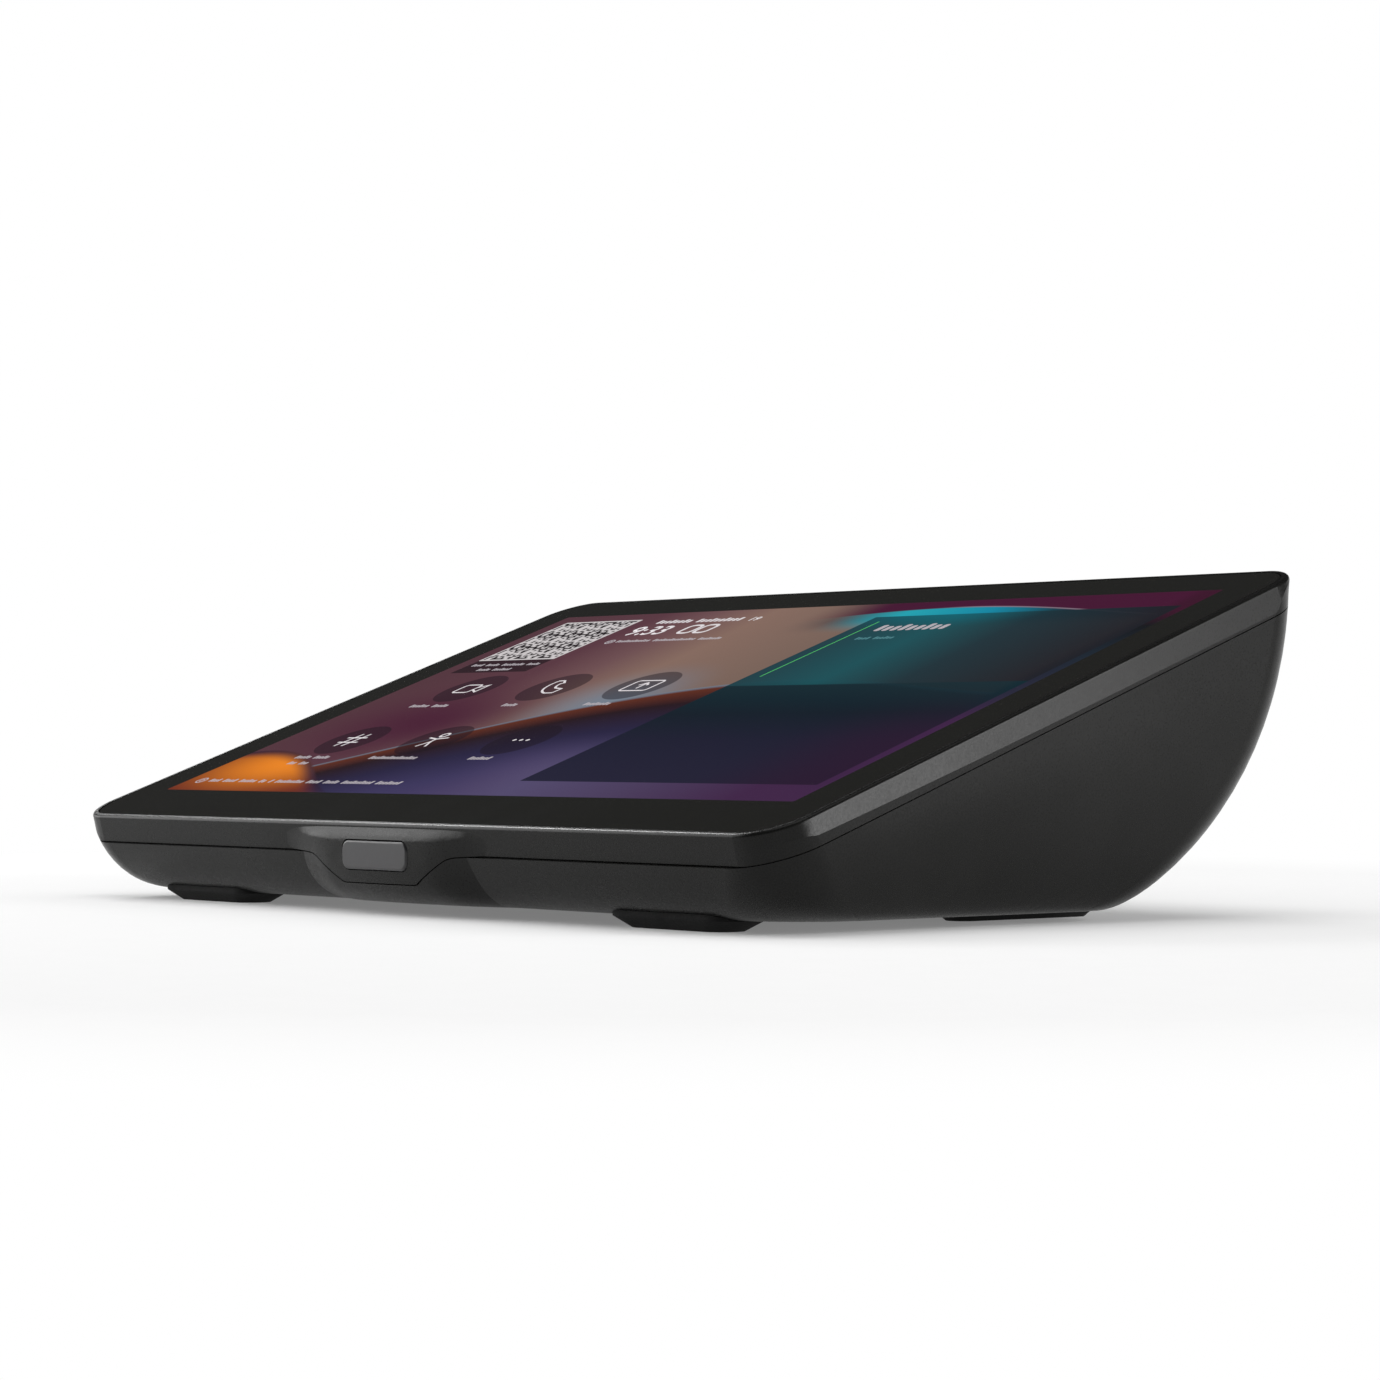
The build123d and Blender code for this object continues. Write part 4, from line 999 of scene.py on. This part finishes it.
class Sketch:
    """Flat drawing on the display, in picture millimetres, that becomes one thin raised piece."""

    lift: float = 0.00002  # height of a piece's upper face above the glass
    mitre: float = 0.5  # least cosine at a corner, so that a sharp one stays short
    sunk: float = 0.5  # share of that height that the piece fills
    letter: float = 0.82  # a letter block's pitch against its height
    letter_width: float = 0.68  # its width against its pitch
    letter_corner: float = 0.2  # its corner against its height
    tall_letter: float = 1.3  # every third block against the others
    turn_steps: int = 4  # steps in a quarter turn, and in a curve of a numeral
    bold: float = 0.012  # what is added round a numeral, in its font's own size

    def __init__(self, slope: Slope, origin: Point = (0.0, 0.0)) -> None:
        """Starts an empty drawing.

        Args:
            slope: Frame of the display.
            origin: Point of the picture that the drawing is about.
        """
        self.mesh = bmesh.new()
        self.slope = slope
        self.origin = origin

    def plate(self, outline: Sequence[Point]) -> None:
        """Fills an outline given anticlockwise."""
        self.mesh.faces.new([self.mesh.verts.new((x, y, 0.0)) for x, y in outline])

    def stroke(self, path: Sequence[Point], width: float, closed: bool = False) -> None:
        """Draws a line of even width with mitred corners.

        Args:
            path: Points of the line's middle.
            width: Width of the line.
            closed: Whether the last point joins the first.
        """
        points = [Vector((x, y)) for x, y in path]
        count = len(points)
        sides = []
        for place, point in enumerate(points):
            before = points[place - 1] if closed or place else point
            after = points[(place + 1) % count] if closed or place < count - 1 else point
            first = (point - before).normalized() if point != before else (after - point).normalized()
            second = (after - point).normalized() if point != after else first
            ahead = (first + second).normalized()
            normal = Vector((-ahead.y, ahead.x))
            reach = width / 2 / max(normal.dot(Vector((-first.y, first.x))), self.mitre)
            left, right = point + normal * reach, point - normal * reach
            sides.append((self.mesh.verts.new((*left, 0.0)), self.mesh.verts.new((*right, 0.0))))
        pairs = zip(sides, sides[1:] + sides[:1]) if closed else zip(sides, sides[1:])
        for (left, right), (next_left, next_right) in pairs:
            self.mesh.faces.new((left, right, next_right, next_left))

    @staticmethod
    def arc(middle: Point, radius: float, start: float, stop: float, steps: int) -> list[Point]:
        """Gives points of an arc, in degrees anticlockwise from the right."""
        turns = [radians(start + (stop - start) * step / steps) for step in range(steps + 1)]
        return [(middle[0] + radius * cos(turn), middle[1] + radius * sin(turn)) for turn in turns]

    def rounded(self, plot: Plot) -> list[Point]:
        """Gives the outline of a rounded rectangle, anticlockwise.

        Args:
            plot: The rectangle.

        Returns:
            The outline's points.
        """
        corner = plot.corner
        left, right = plot.left + corner, plot.left + plot.width - corner
        front, back = plot.front + corner, plot.front + plot.length - corner
        turns = ((right, front, -90), (right, back, 0), (left, back, 90), (left, front, 180))
        arcs = [self.arc((x, y), corner, turn, turn + 90, self.turn_steps) for x, y, turn in turns]
        return [point for arc in arcs for point in arc]

    def word(self, left: float, middle: float, length: float, height: float) -> None:
        """Fills a row of small blocks that stands for a word.

        Args:
            left: Left end.
            middle: Middle of its height.
            length: Length of the word.
            height: Height of the blocks.
        """
        count = max(round(length / height / self.letter), 1)
        pitch = length / count
        front = middle - height / 2
        width, corner = pitch * self.letter_width, height * self.letter_corner
        for place in range(count):
            tall = height * (1.0 if place % 3 else self.tall_letter)
            self.plate(self.rounded(Plot(left + place * pitch, front, width, tall, corner)))

    def words(self, left: float, middle: float, lengths: Sequence[float], height: float) -> None:
        """Sets a row of words.

        Args:
            left: Left end of the row.
            middle: Middle of its height.
            lengths: Length of each word.
            height: Height of the blocks, and the space between words.
        """
        for length in lengths:
            self.word(left, middle, length, height)
            left += length + height

    def figures(self, text: str, left: float, middle: float, height: float, slim: float) -> None:
        """Sets plain numerals.

        Args:
            text: Digits and their separators.
            left: Left end.
            middle: Middle of their height.
            height: Height of a digit.
            slim: Width of a digit against the font's own.
        """
        curve = bpy.data.curves.new("numerals", "FONT")
        curve.body = text
        curve.resolution_u = self.turn_steps
        curve.offset = self.bold
        holder = bpy.data.objects.new("numerals", curve)
        flat = bpy.data.meshes.new_from_object(holder)
        rows = [vertex.co.y for vertex in flat.vertices]
        scale = height / (max(rows) - min(rows))
        shift = Vector((left, middle - height / 2 - min(rows) * scale, 0.0))
        for vertex in flat.vertices:
            vertex.co = Vector((vertex.co.x * scale * slim, vertex.co.y * scale, 0.0)) + shift
        self.mesh.from_mesh(flat)
        bpy.data.meshes.remove(flat)
        bpy.data.objects.remove(holder)
        bpy.data.curves.remove(curve)

    def _solid(self, name: str, depth: float) -> bpy.types.Mesh:
        """Closes the flat drawing downwards, with its faces in the same order on every run.

        Args:
            name: Name of the mesh.
            depth: Thickness in millimetres.

        Returns:
            The mesh, in picture millimetres.
        """
        for face in self.mesh.faces:
            face.normal_update()
            if face.normal.z < 0:
                face.normal_flip()
        self.mesh.verts.index_update()
        count = len(self.mesh.verts)
        upper = [tuple(vertex.co) for vertex in self.mesh.verts]
        lower = [(x, y, z - depth) for x, y, z in upper]
        tops = [[vertex.index for vertex in face.verts] for face in self.mesh.faces]
        bottoms = [[place + count for place in reversed(top)] for top in tops]
        sides, smooth = [], [face.smooth for face in self.mesh.faces] * 2
        for loop in (loop for face in self.mesh.faces for loop in face.loops):
            if len(loop.edge.link_faces) == 1:
                near, far = loop.vert.index, loop.link_loop_next.vert.index
                sides.append((far, near, near + count, far + count))
                smooth.append(loop.face.smooth)
        data = bpy.data.meshes.new(name)
        data.from_pydata(upper + lower, [], tops + bottoms + sides)
        data.polygons.foreach_set("use_smooth", smooth)
        self.mesh.free()
        return data

    def lay(self, name: str, material: bpy.types.Material, layer: int = 1) -> None:
        """Turns the drawing into a piece that lies on the glass.

        Args:
            name: Name of the piece.
            material: Its finish.
            layer: Place in the pile of pieces, from the glass up.
        """
        lift = layer * self.lift
        data = self._solid(name, lift / MM * self.sunk)
        data.transform(self.slope.matrix(lift) @ Matrix.Translation((*self.origin, 0.0)))
        data.materials.append(material)
        piece = put(name, data)
        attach(piece, "console")
        log.info("%s: %d faces", name, len(data.polygons))


class Symbol(Sketch):
    """Drawing of a round button's symbol, about the middle of its disc."""

    line: float = 0.62

    def lines(self, *paths: Sequence[Point], closed: bool = False) -> None:
        """Draws lines of the symbol's own width.

        Args:
            paths: Points of each line.
            closed: Whether they are rings.
        """
        for path in paths:
            self.stroke(path, self.line, closed)

    def camera(self) -> None:
        """Draws a video camera: a rounded box with a lens horn."""
        self.lines(self.rounded(Plot(-4.4, -2.7, 6.2, 5.4, 1.1)), closed=True)
        self.lines(((1.8, 0.7), (4.6, 2.4), (4.6, -2.4), (1.8, -0.7)))

    def handset(self) -> None:
        """Draws a tilted telephone handset as one bent outline."""
        bow = (3.4, 2.6)
        outer = self.arc(bow, 7.0, 165, 255, 12)
        inner = self.arc(bow, 3.8, 238, 182, 8)
        self.lines([*outer, (4.2, -4.0), (4.4, -1.2), *inner, (0.3, 3.0), (-1.4, 4.6)], closed=True)

    def share(self) -> None:
        """Draws a sheet with an upward arrow."""
        self.lines(self.rounded(Plot(-4.8, -3.4, 9.6, 6.8, 1.0)), closed=True)
        self.lines(((0, -1.9), (0, 1.7)), ((-1.6, 0.3), (0, 1.9), (1.6, 0.3)))

    def hash(self) -> None:
        """Draws a number sign of four strokes."""
        for side in (-1.5, 1.5):
            self.lines(((side - 0.7, -4.0), (side + 0.7, 4.0)), ((-3.9, side), (3.9, side)))

    def figure(self) -> None:
        """Draws a person with spread arms and legs."""
        self.lines(self.arc((0, 3.2), 1.2, 0, 324, 9), closed=True)
        self.lines(((-3.6, 1.5), (0, 0.6), (3.6, 1.5)), ((0, 0.6), (0, -1.0)))
        self.lines(((-1.9, -4.2), (0, -1.0), (1.9, -4.2)))

    def dots(self) -> None:
        """Draws three dots in a row."""
        for side in (-2.4, 0.0, 2.4):
            self.plate(self.arc((side, 0), 0.55, 0, 330, 11))


@dataclass
class Display:
    """Sub-assembly of the lit picture and its symbols."""

    slope: Slope
    column: float = 32.7
    first_column: float = 29.9
    back_row: float = 69.8
    front_row: float = 33.8
    disc_radius: float = 9.4
    code: Plot = Plot(5.4, 91.2, 30.6, 29.4, 0.3)
    label: Plot = Plot(5.4, 82.1, 30.6, 9.1, 0.3)
    pane: Plot = Plot(126.3, 8.8, 93.5, 106.5, 0.3)
    pane_split: float = 68.3
    clock_left: float = 42.0
    clock_middle: float = 111.4
    clock_height: float = 6.6
    date_rise: float = 6.4  # date above the time
    date_left: float = 3.0  # from the clock's left end
    day_left: float = 37.6
    day_height: float = 2.8
    slim: float = 0.95  # numerals against the font's own width
    nought: Plot = Plot(20.4, -2.9, 4.6, 5.8, 1.6)  # from the clock's left end and middle
    nought_pitch: float = 5.9
    rule: Plot = Plot(130.8, 74.4, 0.4, 37.4, 0.15)
    cells: int = 33
    cell_fill: float = 0.92

    def discs(self) -> tuple[Point, ...]:
        """Gives the middles of the six round buttons, back row first."""
        rows = (self.back_row, self.front_row)
        return tuple((self.first_column + place * self.column, row) for row in rows for place in range(3))

    def picture(self, name: str, wall: Wall) -> Picture:
        """Makes the picture's finish for the glass or the panel."""
        return Picture(
            name, wall, self.slope, self.discs(), self.disc_radius, self.pane, self.pane_split, self.label
        )

    def symbols(self, material: bpy.types.Material) -> None:
        """Builds one piece for each round button's symbol.

        Args:
            material: Their finish.
        """
        draws = (
            ("camera", Symbol.camera),
            ("handset", Symbol.handset),
            ("share", Symbol.share),
            ("hash", Symbol.hash),
            ("figure", Symbol.figure),
            ("dots", Symbol.dots),
        )
        for (name, draw), middle in zip(draws, self.discs()):
            symbol = Symbol(self.slope, middle)
            draw(symbol)
            symbol.lay(f"symbol_{name}", material)

    def captions(self, material: bpy.types.Material) -> None:
        """Builds the bars that stand for words under the buttons, in the foot line and by the clock.

        Args:
            material: Their finish.
        """
        rows = (
            ("caption_camera", 21.6, 57.4, (7.6, 6.2), 1.5),
            ("caption_handset", 58.4, 57.4, (5.6,), 1.5),
            ("caption_share", 89.2, 57.4, (9.4,), 1.5),
            ("caption_hash", 23.0, 22.0, (6.2, 6.0), 1.5),
            ("caption_hash_second", 25.4, 18.1, (3.2, 3.4), 1.5),
            ("caption_figure", 53.2, 22.0, (18.4,), 1.5),
            ("caption_dots", 91.2, 22.0, (8.0,), 1.5),
            ("foot_line", 9.6, 6.2, (4.4, 5.4, 6.8, 2.6, 1.2, 11.2, 5.4, 5.6, 11.8, 9.2), 1.5),
            ("room_line", 46.0, 103.4, (12.8, 15.6, 8.2), 1.3),
            ("label_line", 7.6, 87.6, (4.6, 5.2, 8.8, 4.8), 1.3),
            ("label_line_second", 14.2, 84.0, (5.2, 7.0), 1.3),
            ("status_line", 135.8, 106.4, (23.4,), 3.2),
        )
        for name, left, middle, lengths, height in rows:
            sketch = Sketch(self.slope)
            sketch.words(left, middle, lengths, height)
            sketch.lay(name, material)

    def clock(self, material: bpy.types.Material) -> None:
        """Builds the numerals of the time and the date.

        Args:
            material: Their finish.
        """
        time = Sketch(self.slope)
        time.figures("9:33", self.clock_left, self.clock_middle, self.clock_height, self.slim)
        first = self.nought
        for place in range(2):
            left = self.clock_left + first.left + place * self.nought_pitch
            front = self.clock_middle + first.front
            ring = Plot(left, front, first.width, first.length, first.corner)
            time.stroke(time.rounded(ring), 1.0, closed=True)
        time.lay("clock_time", material)
        date = Sketch(self.slope)
        rise = self.clock_middle + self.date_rise
        date.words(self.clock_left + self.date_left, rise, (13.2, 16.8), 2.0)
        date.figures("19", self.clock_left + self.day_left, rise, self.day_height, self.slim)
        date.lay("clock_date", material)

    def badges(self, material: bpy.types.Material) -> None:
        """Builds the small round marks before the foot line and the room line.

        Args:
            material: Their finish.
        """
        for name, middle, radius in (("foot_badge", (6.0, 6.2), 1.5), ("room_badge", (43.4, 103.4), 1.3)):
            sketch = Sketch(self.slope)
            sketch.stroke(sketch.arc(middle, radius, 0, 337.5, 15), 0.4, closed=True)
            sketch.stroke(sketch.arc(middle, radius * 0.45, 0, 315, 7), 0.3, closed=True)
            sketch.lay(name, material)

    def status(self, rule: bpy.types.Material, faint: bpy.types.Material) -> None:
        """Builds the thin line beside the status and the faint line under it.

        Args:
            rule: Finish of the thin line.
            faint: Finish of the line under it.
        """
        line = Sketch(self.slope)
        line.plate(line.rounded(self.rule))
        line.lay("status_rule", rule)
        second = Sketch(self.slope)
        second.words(135.8, 99.6, (4.6, 6.6), 1.3)
        second.lay("status_line_second", faint)

    def code_tile(self, paper: bpy.types.Material, dots: bpy.types.Material) -> None:
        """Builds a pale tile under an uneven net of small dark squares.

        Args:
            paper: Finish of the tile.
            dots: Finish of the squares.
        """
        tile = Sketch(self.slope)
        tile.plate(tile.rounded(self.code))
        tile.lay("code_tile", paper)
        net = Sketch(self.slope)
        step_x, step_y = self.code.width / (self.cells + 2), self.code.length / (self.cells + 2)
        for column in range(self.cells):
            for row in range(self.cells):
                if (column * column * 5 + row * row * 3 + column * row * 7 + row) % 11 > 4:
                    continue
                x = self.code.left + (column + 1) * step_x
                y = self.code.front + (row + 1) * step_y
                right, back = x + step_x * self.cell_fill, y + step_y * self.cell_fill
                net.plate(((x, y), (right, y), (right, back), (x, back)))
        net.lay("code_dots", dots, 2)

    def build(self) -> None:
        """Builds every lit symbol."""
        tints = (
            ("lit_white", "#e4dfe2", "#b7b0b4"),
            ("lit_grey", "#b9b2b8", "#8a838a"),
            ("lit_green", "#57c86a", "#2f8f46"),
            ("lit_faint", "#4f868d", "#3c6f77"),
            ("lit_dark", "#1b1216", "#0e090b"),
            ("lit_paper", "#cfcacb", "#aaa5a6"),
        )
        white, grey, green, faint, dark, paper = (LitSymbol(*tint).make() for tint in tints)
        self.symbols(white)
        self.captions(grey)
        self.clock(white)
        self.badges(grey)
        self.status(green, faint)
        self.code_tile(paper, dark)


@dataclass
class Lamp:
    """Soft rectangular lamp aimed at the object."""

    name: str
    place: tuple[float, float, float]
    size: Point
    power: float
    target: tuple[float, float, float] = (0.0, 0.0, 0.03)

    def build(self) -> None:
        """Builds the lamp."""
        data = bpy.data.lights.new(self.name, "AREA")
        data.shape = "RECTANGLE"
        data.size, data.size_y = self.size
        data.energy = self.power
        lamp = put(self.name, data)
        lamp.location = self.place
        aim = Vector(self.target) - Vector(self.place)
        lamp.rotation_euler = aim.to_track_quat("-Z", "Y").to_euler()


@dataclass
class Studio:
    """Pale floor, white sweep behind the object, dim air above and in front, and soft lamps."""

    floor_reach: float = 6.0
    ambient: float = 0.25  # light of the air on everything
    above: float = 0.03  # how bright the air looks above, against the sweep's 1
    front: float = 0.24  # and opposite the sweep
    sweep_turn: float = 137.0  # direction of the sweep's middle, in degrees
    sweep_edge: Point = (0.3, 0.85)  # cosines from its middle over which it fades in
    sweep_top: Point = (0.2, 0.27)  # sines of the height over which it ends
    footprint: Point = (0.106, 0.057)  # half sizes of what stands on the floor
    contact: float = 0.06  # reach of the shadow close to it
    under_white: float = 0.19  # the floor's own white under the object
    floor_white: float = 0.62  # and beyond that reach
    paper_fade: Point = (0.06, 0.32)  # distances over which the floor turns all white

    @staticmethod
    def _show(graph: Graph) -> Wire:
        """Gives 1 to rays that see the surroundings directly, in a mirror or through glass.

        Args:
            graph: Graph of the floor or of the air.

        Returns:
            1 for those rays and 0 for all others.
        """
        path = graph.add("ShaderNodeLightPath")
        seen, mirrored, through = (
            Wire(graph, path.outputs[name])
            for name in ("Is Camera Ray", "Is Glossy Ray", "Is Transmission Ray")
        )
        return seen.at_least(mirrored).at_least(through)

    def world(self) -> None:
        """Builds the surroundings: a white sweep behind the object, dim air above and in front."""
        air = bpy.data.worlds.new("studio_air")
        bpy.context.scene.world = air
        graph = Graph(air, "ShaderNodeOutputWorld")
        direction = graph.add("ShaderNodeTexCoord").outputs["Generated"]
        split = graph.add("ShaderNodeSeparateXYZ", values={0: direction})
        across, deep, rise = (Wire(graph, split.outputs[name]) for name in "XYZ")
        turn = radians(self.sweep_turn)
        behind = (across * cos(turn) + deep * sin(turn)).fade(*self.sweep_edge, self.front, 1.0)
        level = rise.fade(*self.sweep_top, 1.0, self.above) * behind
        white = (1.0, 1.0, 1.0, 1.0)
        seen = graph.add("ShaderNodeBackground", values={"Color": white, "Strength": level})
        felt = graph.add("ShaderNodeBackground", values={"Color": white, "Strength": self.ambient})
        graph.finish(self._show(graph), felt, seen)

    def floor(self) -> None:
        """Builds the floor, white to the eye and with the object's shadow on it."""
        mesh = bmesh.new()
        bmesh.ops.create_grid(mesh, x_segments=24, y_segments=24, size=self.floor_reach)
        data = bpy.data.meshes.new("floor")
        mesh.to_mesh(data)
        mesh.free()
        floor = put("floor", data)
        graph = Graph.of_material("floor_paper")
        fibre = graph.noise(0.01, 3.0)
        graph.set(
            Base_Color=graph.blend(fibre, tone("#fafafa"), tone("#f4f4f4")),
            Roughness=fibre.fade(0.3, 0.7, 0.85, 0.95),
            Specular_IOR_Level=0.0,
        )
        glow = graph.add("ShaderNodeEmission", values={"Color": (1.0, 1.0, 1.0, 1.0), "Strength": 1.0})
        distance = beyond(graph.axis("X"), graph.axis("Y"), *self.footprint)
        open_floor = distance.fade(0.0, self.contact, self.under_white, self.floor_white)
        share = self._show(graph) * open_floor.at_least(distance.fade(*self.paper_fade))
        graph.finish(share, graph.shader, glow)
        data.materials.append(graph.material)

    def lamps(self) -> None:
        """Builds the lamps: front left, right rear, left rear and overhead."""
        Lamp("lamp_left", (-0.72, -0.4, 0.4), (0.7, 0.7), 5.2).build()
        Lamp("lamp_right", (1.2, 0.66, 0.33), (0.5, 0.6), 13.0).build()
        Lamp("lamp_rim", (-1.25, 0.31, 0.97), (0.35, 0.35), 6.0).build()
        Lamp("lamp_top", (0.15, -0.1, 1.5), (1.2, 1.2), 6.0).build()

    def build(self) -> None:
        """Builds the whole studio."""
        self.world()
        self.floor()
        self.lamps()


@dataclass
class Viewpoint:
    """Camera a little above the desk, off the right front corner."""

    place: tuple[float, float, float] = (0.6304, -0.5067, 0.0361)
    tilt: float = 90.794
    turn: float = 50.625
    lens: float = 96.14
    sensor: float = 36.0

    def build(self) -> None:
        """Builds the camera and makes it the scene's."""
        data = bpy.data.cameras.new("viewpoint")
        data.lens = self.lens
        data.sensor_width = self.sensor
        data.clip_start = 0.02
        data.clip_end = 30.0
        camera = put("viewpoint", data)
        camera.location = self.place
        camera.rotation_euler = (radians(self.tilt), 0.0, radians(self.turn))
        bpy.context.scene.camera = camera


def main() -> None:
    """Builds the camera, the studio, the finishes and the lit display, in that order."""
    logging.basicConfig(level=logging.INFO, format="%(name)s: %(message)s")
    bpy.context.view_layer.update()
    Viewpoint().build()
    Studio().build()
    bpy.context.scene.view_settings.view_transform = "Standard"
    display = Display(Slope())
    console = Console()
    glass = display.picture("lit_glass", Wall.GLASS)
    panel = display.picture("picture_panel", Wall.PANEL)
    console.dress(console.finishes(glass, panel))
    display.build()


if __name__ == "__main__":
    main()
